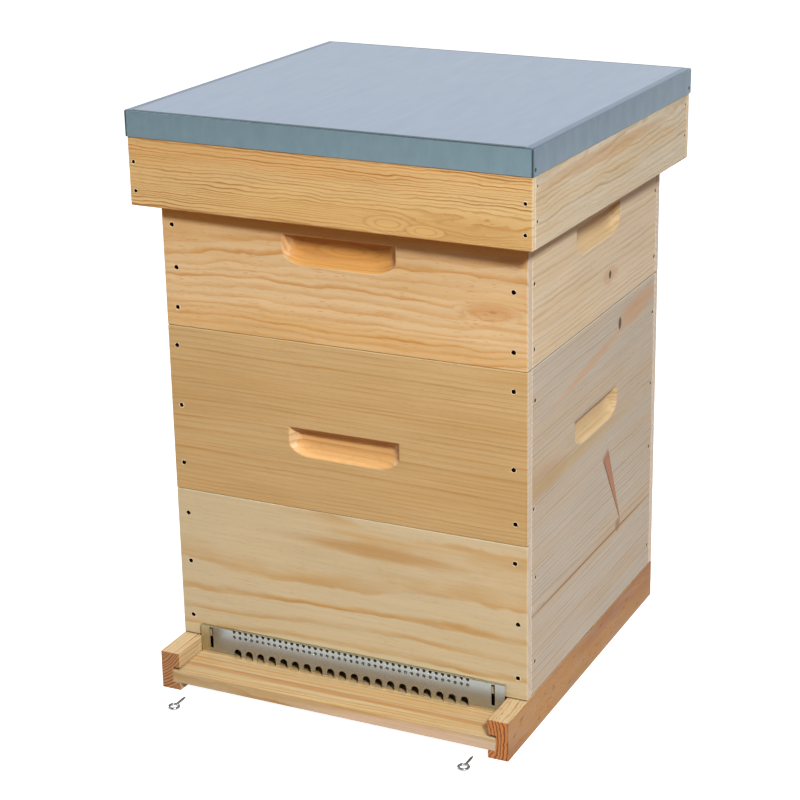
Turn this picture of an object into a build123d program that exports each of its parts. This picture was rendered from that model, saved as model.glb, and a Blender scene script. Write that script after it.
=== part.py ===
"""Square wooden beehive: grooved floor, brood box with ten frames, super with nine frames,
inner cover and a telescoping flat roof under a folded sheet cap.

Millimetres, +Z up. The front of the hive faces -Y. The origin is on the ground, in the middle of
the outline of the whole hive with its two loose screw eyes.
"""

import os
from math import asin, cos, degrees, radians, sin, sqrt, tan

from build123d import *

# Boxes
HIVE_W = 430.0  # across the front
HIVE_D = 404.0  # front to back
WALL = 24.0  # thickness of the box walls
CORNER_LAP = 12.0  # what the corner rebate leaves of an end wall
BROOD_LOWER_H = 181.0  # lower board of the brood box's front and back
BROOD_UPPER_H = 194.0  # upper board of the brood box's front and back
SUPER_H = 170.0
TONGUE_W = 8.0  # tongue between the two boards of an end wall, and between floor planks
TONGUE_H = 6.0
TONGUE_CLEARANCE = 0.2

# Hand-holds, milled into all four walls of both boxes
HOLD_W = 133.0
HOLD_DROP = 32.0  # height at the wall's face
HOLD_DEPTH = 12.0
HOLD_FLOOR_W = 88.0  # size at the deepest point
HOLD_FLOOR_DROP = 10.0
HOLD_CORNER_W = 30.0  # rounded lower corners at the wall's face
HOLD_CORNER_H = 15.0
HOLD_STEPS = (0.0, 0.5, 0.85, 1.0)  # shares of the depth where the cove is drawn
BROOD_HOLD_TOP = 100.0  # from the box's top edge down to the hand-hold's ledge
SUPER_HOLD_TOP = 52.0

# Floor
RAIL_W = 24.0
RAIL_H = 46.0
RAIL_AHEAD = 53.0  # rails and landing board in front of the brood box
GROOVE_BOTTOM = 9.5
GROOVE_D = 9.5
GROOVE_CLEARANCE = 0.3
FLOOR_T = 18.0
LANDING_W = 150.0
BEVEL_RUN = 20.0  # bevel along the landing board's front edge
BEVEL_DROP = 3.5

# Entrance guard, galvanised sheet
GUARD_T = 0.8
GUARD_H = 34.5
GUARD_OFF = 4.0  # front of the guard to the face of the wall
GUARD_END_CLEARANCE = 0.8
GUARD_WALL_CLEARANCE = 0.3
GUARD_BEND = 1.0  # across the fold, drawn flat so that 40 notched vents stay plain facets
ARCH_COUNT = 20
ARCH_PITCH = 15.0
ARCH_W = 9.0
ARCH_H = 11.5
ARCH_SIDES = 16  # facets of a full circle at the head of an arch
VENT_D = 3.4
VENT_SIDES = 8
VENT_ROWS = 2
VENT_ROW_PITCH = 6.5
VENT_TOP = 1.5  # upper row below the guard's top edge
SLOT_W = 3.4
SLOT_H = 25.0
SLOT_BOTTOM = 8.0  # above the landing board
SLOT_IN = 38.5  # from the side of the hive

# Screw eyes, lying on the ground in front of the guard's slots
EYE_OUTER = 14.4
EYE_WIRE = 3.2
EYE_SIDES = 8  # facets around the wire
EYE_RING_SIDES = 24  # facets along the ring
EYE_REACH = 24.0  # ring centre to tip
EYE_TIP = 3.0
EYE_POINT_R = 0.8
EYE_LEFT_AHEAD = 91.55  # ring centre ahead of the front wall
EYE_RIGHT_AHEAD = 83.55

# Frames and the castellated strips that space them
BEE_SPACE = 7.5  # frame to end wall
FRAME_TOP_GAP = 7.0  # box edge to top bar
TOP_BAR_W = 25.0
LUG_T = 10.0
LUG_END_CLEARANCE = 2.0
SIDE_BAR_T = 7.0
BOTTOM_BAR_W = 20.0
BOTTOM_BAR_T = 8.0
WAX_GROOVE_W = 3.0
WAX_GROOVE_D = 4.0
BROOD_FRAMES = 10
BROOD_TOP_BAR_T = 20.0
BROOD_BOTTOM_GAP = 10.0  # frame to the bottom edge of its box
SUPER_FRAMES = 9
SUPER_TOP_BAR_T = 12.0
SUPER_BOTTOM_GAP = 2.0
REBATE_D = 12.0  # ledge for the lugs in the front and back walls
REBATE_UNDER_LUG = 1.0  # rebate floor below the lugs, which stand on the strip
STRIP_T = 1.0
STRIP_UNDER = 16.0  # strip below the lugs
TOOTH_H = 9.0
TOOTH_CLEARANCE = 0.5
STRIP_END_CLEARANCE = 0.5

# Inner cover
COVER_T = 10.0
COVER_PLANKS = 3
CLEAT_W = 30.0
CLEAT_T = 15.0
CLEAT_IN = 60.0  # cleat's middle from the front or back edge
CLEAT_END_GAP = 14.0

# Roof
ROOF_H = 105.0
ROOF_OVERLAP = 33.5  # how far the roof comes down over the super
ROOF_BOARD = 15.0
ROOF_LAP = 7.5
ROOF_PLAY = 7.0  # between the roof boards and the boxes
ROOF_REST_GAP = 1.4  # what is left of the play where the loose roof sits turned
DECK_T = 9.0
SHEET_T = 0.8
SHEET_FLANGE = 29.0
SHEET_CLEARANCE = 0.2
SHEET_BEND = 1.6
SHEET_SLIT = 0.8  # open corner between two flanges
BEARER_W = 18.0
BEARER_END_CLEARANCE = 0.5

# Levels above the ground
FLOOR_TOP = GROOVE_BOTTOM + FLOOR_T
BROOD_Z = RAIL_H
BROOD_H = BROOD_LOWER_H + BROOD_UPPER_H
SUPER_Z = BROOD_Z + BROOD_H
COVER_Z = SUPER_Z + SUPER_H
COVER_TOP = COVER_Z + COVER_T
ROOF_Z = COVER_Z - ROOF_OVERLAP
ROOF_BOARD_H = ROOF_H - DECK_T - SHEET_T
DECK_Z = ROOF_Z + ROOF_BOARD_H

# The roof: outer sizes, and the small turn that its play allows
ROOF_W = HIVE_W + 2 * (ROOF_PLAY + ROOF_BOARD)
ROOF_D = HIVE_D + 2 * (ROOF_PLAY + ROOF_BOARD)
SHEET_W = ROOF_W + 2 * (SHEET_CLEARANCE + SHEET_T)
SHEET_D = ROOF_D + 2 * (SHEET_CLEARANCE + SHEET_T)
ROOF_TURN = -degrees(asin((ROOF_PLAY - ROOF_REST_GAP) / (HIVE_W / 2)))
ROOF_REACH = SHEET_D / 2 * cos(radians(ROOF_TURN)) + SHEET_W / 2 * abs(sin(radians(ROOF_TURN)))

# Plan: the outline from the screw eyes to the back of the roof is centred on the origin
EYE_LIMIT = max(EYE_LEFT_AHEAD, EYE_RIGHT_AHEAD) + EYE_OUTER / 2
FRONT_Y = (EYE_LIMIT - HIVE_D / 2 - ROOF_REACH) / 2
MID_Y = FRONT_Y + HIVE_D / 2
BACK_Y = FRONT_Y + HIVE_D
RAIL_FRONT_Y = FRONT_Y - RAIL_AHEAD
INNER_W = HIVE_W - 2 * WALL
INNER_D = HIVE_D - 2 * WALL
RAIL_INNER_W = HIVE_W - 2 * RAIL_W

LOW = (Align.CENTER, Align.MIN)
CORNER = (Align.MIN, Align.MIN)


def write(part, node):
    """Label a finished piece and write its STEP file."""
    part.label = node
    export_step(part, f"parts/{node}.step")


def level(z, turn=0.0):
    """A horizontal plane over the middle of the boxes, turned about the vertical."""
    return Plane((0, MID_Y, z), x_dir=(cos(radians(turn)), sin(radians(turn)), 0), z_dir=(0, 0, 1))


def end_wall_plane(ring, width, depth, side):
    """The section plane of a front (-1) or back (+1) wall: x inwards, y up, normal along the wall."""
    origin = ring.from_local_coords((side * width / 2, side * depth / 2, 0))
    return Plane(origin, x_dir=ring.y_dir * -side, z_dir=ring.x_dir * -side)


def side_wall_plane(ring, width, depth, lap, side):
    """The section plane of a left (-1) or right (+1) wall that stands between the laps."""
    origin = ring.from_local_coords((side * width / 2, -side * (depth / 2 - lap), 0))
    return Plane(origin, x_dir=ring.x_dir * -side, z_dir=ring.y_dir * side)


def outer_face(section, length):
    """The wall's outer face, seen from outside: x along the wall, y up, normal inwards."""
    middle = section.from_local_coords((0, 0, length / 2))
    return Plane(middle, x_dir=section.z_dir * -1, z_dir=section.x_dir)


def hand_hold(face, ledge):
    """What is milled out of a wall below a height: straight ledge, rounded lower corners, coved floor."""
    with BuildPart() as hollow:
        for share in HOLD_STEPS:
            swell = sqrt(1 - share**2)
            half = (HOLD_FLOOR_W + (HOLD_W - HOLD_FLOOR_W) * swell) / 2
            drop = HOLD_FLOOR_DROP + (HOLD_DROP - HOLD_FLOOR_DROP) * swell
            corner_w = HOLD_CORNER_W * half / (HOLD_W / 2)
            corner_h = HOLD_CORNER_H * drop / HOLD_DROP
            bend = ledge - drop + corner_h
            with BuildSketch(face.offset(share * HOLD_DEPTH)):
                with BuildLine():
                    Polyline((-half, bend), (-half, ledge), (half, ledge), (half, bend))
                    EllipticalCenterArc((half - corner_w, bend), corner_w, corner_h, 270)
                    Line((half - corner_w, ledge - drop), (corner_w - half, ledge - drop))
                    EllipticalCenterArc((corner_w - half, bend), corner_w, corner_h, 180)
                make_face()
        loft(ruled=True)
    return hollow.part


def end_wall(section, length, height, thickness, lap, tongue=False, groove=False, rebate=0.0, ledge=None):
    """A board of a front or back wall: rebated ends, and a tongue, groove, lug rebate or hand-hold."""
    with BuildPart() as wall:
        with BuildSketch(section):
            Rectangle(thickness, height, align=CORNER)
            if tongue:
                with Locations((thickness / 2, height)):
                    Rectangle(TONGUE_W, TONGUE_H, align=LOW)
            if groove:
                with Locations((thickness / 2, 0)):
                    Rectangle(TONGUE_W + 2 * TONGUE_CLEARANCE, TONGUE_H + TONGUE_CLEARANCE,
                              align=LOW, mode=Mode.SUBTRACT)
            if rebate:
                with Locations((thickness, height)):
                    Rectangle(REBATE_D, rebate, align=(Align.MAX, Align.MAX), mode=Mode.SUBTRACT)
        extrude(amount=length)
        for end in (section, section.offset(length - thickness)):
            with BuildSketch(end):
                with Locations((thickness, 0)):
                    Rectangle(thickness - lap, height + TONGUE_H, align=(Align.MAX, Align.MIN))
            extrude(amount=thickness, mode=Mode.SUBTRACT)
        if ledge:
            add(hand_hold(outer_face(section, length), ledge), mode=Mode.SUBTRACT)
    return wall.part


def side_wall(section, length, height, thickness, ledge=None):
    """A side wall: one panel that stands between the end walls' laps."""
    with BuildPart() as wall:
        with BuildSketch(section):
            Rectangle(thickness, height, align=CORNER)
        extrude(amount=length)
        if ledge:
            add(hand_hold(outer_face(section, length), ledge), mode=Mode.SUBTRACT)
    return wall.part


def frame(x, top, bottom, top_bar_t):
    """A frame that hangs front to back by its lugs: top bar, two side bars and a bottom bar."""
    outer = INNER_D - 2 * BEE_SPACE
    inner = outer - 2 * SIDE_BAR_T
    lugs = INNER_D + 2 * (REBATE_D - LUG_END_CLEARANCE)
    under = top - top_bar_t
    with BuildPart() as top_bar:
        with BuildSketch(Plane.YZ.offset(x - TOP_BAR_W / 2)):
            with Locations((MID_Y, top)):
                Rectangle(lugs, LUG_T, align=(Align.CENTER, Align.MAX))
                Rectangle(outer, top_bar_t, align=(Align.CENTER, Align.MAX))
        extrude(amount=TOP_BAR_W)
        with BuildSketch(Plane.YZ.offset(x - WAX_GROOVE_W / 2)):
            with Locations((MID_Y, under)):
                Rectangle(inner, WAX_GROOVE_D, align=LOW)
        extrude(amount=WAX_GROOVE_W, mode=Mode.SUBTRACT)
    with BuildPart() as side_bars:
        with BuildSketch(Plane.YZ.offset(x - TOP_BAR_W / 2)):
            with Locations((MID_Y, (under + bottom) / 2)):
                with GridLocations(inner + SIDE_BAR_T, 0, 2, 1):
                    Rectangle(SIDE_BAR_T, under - bottom)
        extrude(amount=TOP_BAR_W)
    with BuildPart() as bottom_bar:
        with BuildSketch(Plane.YZ.offset(x - BOTTOM_BAR_W / 2)):
            with Locations((MID_Y, bottom)):
                Rectangle(inner, BOTTOM_BAR_T, align=LOW)
        extrude(amount=BOTTOM_BAR_W)
    return Compound([*top_bar.part.solids(), *side_bars.part.solids(), *bottom_bar.part.solids()])


def spacer(side, box_top, count, pitch):
    """A castellated strip on the inside of a front (-1) or back (+1) wall, with a notch for each lug."""
    seat = box_top - FRAME_TOP_GAP - LUG_T
    inside = Plane((0, MID_Y + side * INNER_D / 2, 0), x_dir=(1, 0, 0), z_dir=(0, -1, 0))
    with BuildPart() as strip:
        with BuildSketch(inside):
            with Locations((0, seat - STRIP_UNDER)):
                Rectangle(INNER_W - 2 * STRIP_END_CLEARANCE, STRIP_UNDER + TOOTH_H, align=LOW)
            with Locations((0, seat)):
                with GridLocations(pitch, 0, count, 1):
                    Rectangle(TOP_BAR_W + 2 * TOOTH_CLEARANCE, TOOTH_H, align=LOW, mode=Mode.SUBTRACT)
        extrude(amount=side * STRIP_T)
    return strip.part


def fit_out(prefix, bottom, height, count, top_bar_t, bottom_gap):
    """Write the two castellated strips of a box and the frames that hang evenly spaced in it."""
    top = bottom + height
    pitch = INNER_W / count
    for name, side in (("front", -1), ("back", 1)):
        write(spacer(side, top, count, pitch), f"{prefix}_spacer_{name}")
    for number in range(1, count + 1):
        x = (number - (count + 1) / 2) * pitch
        hung = frame(x, top - FRAME_TOP_GAP, bottom + bottom_gap, top_bar_t)
        write(hung, f"{prefix}_frame_{number}")


def rail(side):
    """A floor rail along the left (-1) or right (+1) side, grooved for the floor boards."""
    front = Plane((side * HIVE_W / 2, RAIL_FRONT_Y, 0), x_dir=(1, 0, 0), z_dir=(0, -1, 0))
    outward = Align.MAX if side > 0 else Align.MIN
    inward = Align.MIN if side > 0 else Align.MAX
    with BuildPart() as bar:
        with BuildSketch(front):
            Rectangle(RAIL_W, RAIL_H, align=(outward, Align.MIN))
            with Locations((-side * RAIL_W, GROOVE_BOTTOM)):
                Rectangle(GROOVE_D, FLOOR_T + GROOVE_CLEARANCE,
                          align=(inward, Align.MIN), mode=Mode.SUBTRACT)
        extrude(amount=-(BACK_Y - RAIL_FRONT_Y))
    return bar.part


def floor_plank(front, back, first=False, last=False):
    """A plank from rail to rail: tongue at the front, groove at the back, a bevel on the landing board."""
    length = RAIL_INNER_W + 2 * (GROOVE_D - GROOVE_CLEARANCE)
    tongue_h = FLOOR_T / 3
    with BuildPart() as plank:
        with BuildSketch(Plane.YZ.offset(-length / 2)):
            with Locations((front, GROOVE_BOTTOM)):
                Rectangle(back - front, FLOOR_T, align=CORNER)
            if first:
                with BuildLine():
                    Polyline((front, FLOOR_TOP), (front + BEVEL_RUN, FLOOR_TOP),
                             (front, FLOOR_TOP - BEVEL_DROP), close=True)
                make_face(mode=Mode.SUBTRACT)
            else:
                with Locations((front, GROOVE_BOTTOM + FLOOR_T / 2)):
                    Rectangle(TONGUE_H, tongue_h, align=(Align.MAX, Align.CENTER))
            if not last:
                with Locations((back, GROOVE_BOTTOM + FLOOR_T / 2)):
                    Rectangle(TONGUE_H + TONGUE_CLEARANCE, tongue_h + 2 * TONGUE_CLEARANCE,
                              align=(Align.MAX, Align.CENTER), mode=Mode.SUBTRACT)
        extrude(amount=length)
    return plank.part


def screw_eye(x, ahead):
    """A screw eye that lies flat on the ground with its shank towards the hive."""
    wire_r = EYE_WIRE / 2
    ring_r = EYE_OUTER / 2 - wire_r
    facet = EYE_WIRE * tan(radians(180 / EYE_SIDES))
    centre = Plane((x, FRONT_Y - ahead, wire_r), x_dir=(1, 0, 0), z_dir=(0, 1, 0))
    with BuildPart() as eye:
        with BuildSketch(Plane((x, FRONT_Y - ahead, 0))):
            RegularPolygon(EYE_OUTER / 2, EYE_RING_SIDES)
            RegularPolygon(EYE_OUTER / 2 - EYE_WIRE, EYE_RING_SIDES, major_radius=False, mode=Mode.SUBTRACT)
        extrude(amount=EYE_WIRE)
        rims = eye.edges().group_by(Axis.Z)
        chamfer(rims[0] + rims[-1], length=(EYE_WIRE - facet) / 2)
        with BuildSketch(centre.offset(ring_r)):
            RegularPolygon(wire_r, EYE_SIDES)
        extrude(amount=EYE_REACH - ring_r - EYE_TIP)
        with BuildSketch(centre.offset(EYE_REACH - EYE_TIP)):
            RegularPolygon(wire_r, EYE_SIDES)
        with BuildSketch(centre.offset(EYE_REACH)):
            RegularPolygon(EYE_POINT_R, EYE_SIDES)
        loft(ruled=True)
    return eye.part


os.makedirs("parts", exist_ok=True)

# Floor
for name, side in (("rail_left", -1), ("rail_right", 1)):
    write(rail(side), name)

landing_back = RAIL_FRONT_Y + LANDING_W
plank_split = (landing_back + BACK_Y) / 2
write(floor_plank(RAIL_FRONT_Y, landing_back, first=True), "landing_board")
write(floor_plank(landing_back, plank_split), "floor_plank_middle")
write(floor_plank(plank_split, BACK_Y, last=True), "floor_plank_rear")

with BuildPart() as floor_rear_bar:
    with BuildSketch(Plane((0, BACK_Y - WALL / 2, FLOOR_TOP))):
        Rectangle(RAIL_INNER_W, WALL)
    extrude(amount=RAIL_H - FLOOR_TOP)
write(floor_rear_bar.part, "floor_rear_bar")

# Entrance guard: an angle of thin sheet, with bee arches along the foot and vents along the top
guard_length = RAIL_INNER_W - 2 * GUARD_END_CLEARANCE
guard_y = FRONT_Y - GUARD_OFF
guard_face = Plane((0, guard_y, FLOOR_TOP), x_dir=(1, 0, 0), z_dir=(0, -1, 0))
with BuildPart() as entrance_guard:
    with BuildSketch(Plane.YZ.offset(-guard_length / 2)):
        with Locations((guard_y, FLOOR_TOP)):
            Rectangle(GUARD_T, GUARD_H, align=CORNER)
        with Locations((guard_y, FLOOR_TOP + GUARD_H)):
            Rectangle(GUARD_OFF - GUARD_WALL_CLEARANCE, GUARD_T, align=(Align.MIN, Align.MAX))
    extrude(amount=guard_length)
    long_edges = entrance_guard.edges().filter_by(Axis.X)
    chamfer(long_edges.group_by(Axis.Z)[-1].sort_by(Axis.Y)[0], length=GUARD_BEND)
    with BuildSketch(guard_face):
        with GridLocations(ARCH_PITCH, 0, ARCH_COUNT, 1):
            Rectangle(ARCH_W, ARCH_H - ARCH_W / 2, align=LOW)
        with Locations((0, ARCH_H - ARCH_W / 2)):
            with GridLocations(ARCH_PITCH, 0, ARCH_COUNT, 1):
                RegularPolygon(ARCH_W / 2, ARCH_SIDES)
        with Locations((0, GUARD_H - VENT_TOP - (VENT_ROWS - 1) * VENT_ROW_PITCH / 2)):
            with GridLocations(ARCH_PITCH / 2, VENT_ROW_PITCH, 2 * ARCH_COUNT, VENT_ROWS):
                RegularPolygon(VENT_D / 2, VENT_SIDES)
        with Locations((0, SLOT_BOTTOM + SLOT_H / 2)):
            with GridLocations(HIVE_W - 2 * SLOT_IN, 0, 2, 1):
                Rectangle(SLOT_W, SLOT_H)
    extrude(amount=-2 * GUARD_T, mode=Mode.SUBTRACT)
write(entrance_guard.part, "entrance_guard")

# Screw eyes
for name, side, ahead in (("left", -1, EYE_LEFT_AHEAD), ("right", 1, EYE_RIGHT_AHEAD)):
    write(screw_eye(side * (HIVE_W / 2 - SLOT_IN), ahead), f"screw_eye_{name}")

# Brood box: two-board front and back, one-panel sides
side_length = HIVE_D - 2 * CORNER_LAP
lug_rebate = FRAME_TOP_GAP + LUG_T + REBATE_UNDER_LUG
for name, side in (("front", -1), ("back", 1)):
    lower = end_wall_plane(level(BROOD_Z), HIVE_W, HIVE_D, side)
    upper = end_wall_plane(level(BROOD_Z + BROOD_LOWER_H), HIVE_W, HIVE_D, side)
    write(end_wall(lower, HIVE_W, BROOD_LOWER_H, WALL, CORNER_LAP, tongue=True), f"brood_{name}_lower")
    write(end_wall(upper, HIVE_W, BROOD_UPPER_H, WALL, CORNER_LAP, groove=True, rebate=lug_rebate,
                   ledge=BROOD_UPPER_H - BROOD_HOLD_TOP), f"brood_{name}_upper")
for name, side in (("left", -1), ("right", 1)):
    section = side_wall_plane(level(BROOD_Z), HIVE_W, HIVE_D, CORNER_LAP, side)
    panel = side_wall(section, side_length, BROOD_H, WALL, ledge=BROOD_H - BROOD_HOLD_TOP)
    write(panel, f"brood_side_{name}")
fit_out("brood", BROOD_Z, BROOD_H, BROOD_FRAMES, BROOD_TOP_BAR_T, BROOD_BOTTOM_GAP)

# Super: one board a side
for name, side in (("front", -1), ("back", 1)):
    section = end_wall_plane(level(SUPER_Z), HIVE_W, HIVE_D, side)
    write(end_wall(section, HIVE_W, SUPER_H, WALL, CORNER_LAP, rebate=lug_rebate,
                   ledge=SUPER_H - SUPER_HOLD_TOP), f"super_{name}")
for name, side in (("left", -1), ("right", 1)):
    section = side_wall_plane(level(SUPER_Z), HIVE_W, HIVE_D, CORNER_LAP, side)
    panel = side_wall(section, side_length, SUPER_H, WALL, ledge=SUPER_H - SUPER_HOLD_TOP)
    write(panel, f"super_side_{name}")
fit_out("super", SUPER_Z, SUPER_H, SUPER_FRAMES, SUPER_TOP_BAR_T, SUPER_BOTTOM_GAP)

# Inner cover: planks held by two cleats
plank_w = HIVE_W / COVER_PLANKS
for number, name in enumerate(("left", "middle", "right")):
    with BuildPart() as cover_plank:
        with BuildSketch(level(COVER_Z)):
            with Locations(((number - (COVER_PLANKS - 1) / 2) * plank_w, 0)):
                Rectangle(plank_w, HIVE_D)
        extrude(amount=COVER_T)
    write(cover_plank.part, f"cover_plank_{name}")
for name, side in (("front", -1), ("back", 1)):
    with BuildPart() as cover_cleat:
        with BuildSketch(level(COVER_TOP)):
            with Locations((0, side * (HIVE_D / 2 - CLEAT_IN))):
                Rectangle(HIVE_W + 2 * (ROOF_PLAY - BEARER_W - CLEAT_END_GAP), CLEAT_W)
        extrude(amount=CLEAT_T)
    write(cover_cleat.part, f"cover_cleat_{name}")

# Roof: four rebated boards, two bearers that stand on the inner cover, a deck and a folded sheet
roof_ring = level(ROOF_Z, ROOF_TURN)
for name, side in (("front", -1), ("back", 1)):
    section = end_wall_plane(roof_ring, ROOF_W, ROOF_D, side)
    write(end_wall(section, ROOF_W, ROOF_BOARD_H, ROOF_BOARD, ROOF_LAP), f"roof_{name}")
for name, side in (("left", -1), ("right", 1)):
    section = side_wall_plane(roof_ring, ROOF_W, ROOF_D, ROOF_LAP, side)
    write(side_wall(section, ROOF_D - 2 * ROOF_LAP, ROOF_BOARD_H, ROOF_BOARD), f"roof_side_{name}")
    with BuildPart() as roof_bearer:
        with BuildSketch(level(COVER_TOP, ROOF_TURN)):
            with Locations((side * (HIVE_W / 2 + ROOF_PLAY - BEARER_W / 2), 0)):
                Rectangle(BEARER_W, HIVE_D + 2 * (ROOF_PLAY - BEARER_END_CLEARANCE))
        extrude(amount=DECK_Z - COVER_TOP)
    write(roof_bearer.part, f"roof_bearer_{name}")

with BuildPart() as roof_deck:
    with BuildSketch(level(DECK_Z, ROOF_TURN)):
        Rectangle(ROOF_W, ROOF_D)
    extrude(amount=DECK_T)
write(roof_deck.part, "roof_deck")

sheet_top = level(ROOF_Z + ROOF_H, ROOF_TURN)
with BuildPart() as roof_sheet:
    with BuildSketch(sheet_top):
        Rectangle(SHEET_W, SHEET_D)
    extrude(amount=-SHEET_FLANGE)
    fillet(roof_sheet.faces().sort_by(Axis.Z)[-1].edges(), radius=SHEET_BEND)
    with BuildSketch(sheet_top.offset(-SHEET_T)):
        Rectangle(SHEET_W - 2 * SHEET_T, SHEET_D - 2 * SHEET_T)
    extrude(amount=-SHEET_FLANGE, mode=Mode.SUBTRACT)
    with BuildSketch(sheet_top.offset(-SHEET_T - SHEET_BEND)):
        with GridLocations(SHEET_W - SHEET_T, SHEET_D - 2 * SHEET_T - SHEET_SLIT, 2, 2):
            Rectangle(2 * SHEET_T, SHEET_SLIT)
    extrude(amount=-SHEET_FLANGE, mode=Mode.SUBTRACT)
write(roof_sheet.part, "roof_sheet")
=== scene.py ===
"""Looks of a stacked wooden beehive: bare pine boxes, a folded zinc roof, a punched entrance guard.

Every wooden piece is a dressed copy of its CAD node with eased edges, cut out of a procedural log,
so that rings run through from face to end grain. Metres, +Z up, the front of the hive faces -Y.
"""

import logging
import math
from contextlib import contextmanager
from dataclasses import dataclass, field, replace
from enum import Enum, IntEnum
from typing import Any, Callable, Iterable, Iterator, Optional, Union

import bpy
from mathutils import Euler, Matrix, Vector


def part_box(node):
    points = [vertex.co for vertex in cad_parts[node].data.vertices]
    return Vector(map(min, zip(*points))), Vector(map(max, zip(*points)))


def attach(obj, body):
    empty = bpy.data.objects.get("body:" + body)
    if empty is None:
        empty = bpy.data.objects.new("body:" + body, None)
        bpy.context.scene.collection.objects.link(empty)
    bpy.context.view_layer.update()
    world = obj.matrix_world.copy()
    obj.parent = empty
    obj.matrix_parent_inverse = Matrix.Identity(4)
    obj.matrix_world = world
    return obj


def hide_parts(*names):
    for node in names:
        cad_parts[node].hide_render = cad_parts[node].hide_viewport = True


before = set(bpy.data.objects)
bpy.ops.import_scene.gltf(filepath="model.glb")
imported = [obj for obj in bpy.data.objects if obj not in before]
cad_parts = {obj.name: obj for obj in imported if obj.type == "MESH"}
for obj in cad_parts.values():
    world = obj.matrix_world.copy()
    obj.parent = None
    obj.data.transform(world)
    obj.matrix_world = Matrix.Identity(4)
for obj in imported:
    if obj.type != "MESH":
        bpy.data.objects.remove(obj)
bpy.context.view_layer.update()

MM = 0.001
TINY = 1e-6  # a micrometre: nearer than that is the same place
UP = Vector((0.0, 0.0, 1.0))
QUARTER = math.radians(90)
WHITE = (1.0, 1.0, 1.0, 1.0)
# A face's normal along an axis, when the face looks that way squarely, mostly or hardly.
SQUARELY, MOSTLY, HARDLY = 0.9, 0.5, 0.3
LOG = logging.getLogger("beehive")

Triple = tuple[float, float, float]
Piece = bpy.types.Object
Tree = bpy.types.NodeTree
Socket = bpy.types.NodeSocket
Inputs = dict[Union[str, int], Any]


def linear(hex_colour: str) -> tuple[float, float, float, float]:
    """Turn an sRGB hex colour into linear light.

    Args:
        hex_colour: six hex digits with a leading hash.

    Returns:
        Red, green, blue and an alpha of one.
    """
    shares = [int(hex_colour[i:i + 2], 16) / 255 for i in (1, 3, 5)]
    light = [s / 12.92 if s <= 0.04045 else ((s + 0.055) / 1.055) ** 2.4 for s in shares]
    return light[0], light[1], light[2], 1.0


def feed(node: bpy.types.Node, inputs: Inputs) -> None:
    """Set a node's inputs.

    Args:
        node: the node.
        inputs: what each input takes, either a value or the output that feeds it.
    """
    for key, value in inputs.items():
        if isinstance(value, Socket):
            node.id_data.links.new(value, node.inputs[key])
        else:
            node.inputs[key].default_value = value


def add_node(tree: Tree, kind: str, inputs: Inputs, output: str = "", **settings: Any) -> Socket:
    """Add a shader node.

    Args:
        tree: the node tree.
        kind: the node's type, without the prefix that all shader nodes share.
        inputs: what each input takes.
        output: the output that is wanted, if it isn't the first one in use.
        settings: attributes of the node itself.

    Returns:
        The node's output.
    """
    node = tree.nodes.new(f"ShaderNode{kind}")
    for name, value in settings.items():
        setattr(node, name, value)
    feed(node, inputs)
    return node.outputs[output] if output else next(s for s in node.outputs if s.enabled)


def stretched_noise(tree: Tree, place: Socket, lengths: Iterable[float], detail: float,
                    roughness: float = 0.5) -> Socket:
    """Add noise that is drawn out along the axes.

    Args:
        tree: the node tree.
        place: where the noise is looked up.
        lengths: how long its blotches are along each axis, in the place's units.
        detail: how many finer layers it has.
        roughness: how strong the finer layers are.

    Returns:
        The noise, which lies around one half.
    """
    scaled = add_node(tree, "Mapping", {"Vector": place, "Scale": [1 / v for v in lengths]})
    return add_node(tree, "TexNoise", {"Vector": scaled, "Scale": 1.0, "Detail": detail,
                                       "Roughness": roughness})


class Grain(Enum):
    """Which way a board's fibres run: the turn in degrees that lays the log's length along them."""

    ACROSS = (0.0, 0.0, 0.0)
    DEEP = (0.0, 0.0, 90.0)
    UP = (0.0, -90.0, 0.0)


class Face(Enum):
    """A side of the hive: the way to the right along it, as seen from outside."""

    FRONT = (1.0, 0.0, 0.0)
    RIGHT = (0.0, 1.0, 0.0)
    BACK = (-1.0, 0.0, 0.0)
    LEFT = (0.0, -1.0, 0.0)

    def axes(self) -> Matrix:
        """Return the axes of the side as columns: along it, up and straight out."""
        along = Vector(self.value)
        return Matrix((along, UP, along.cross(UP))).transposed()


NailSpot = tuple[Face, float, float]


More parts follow.
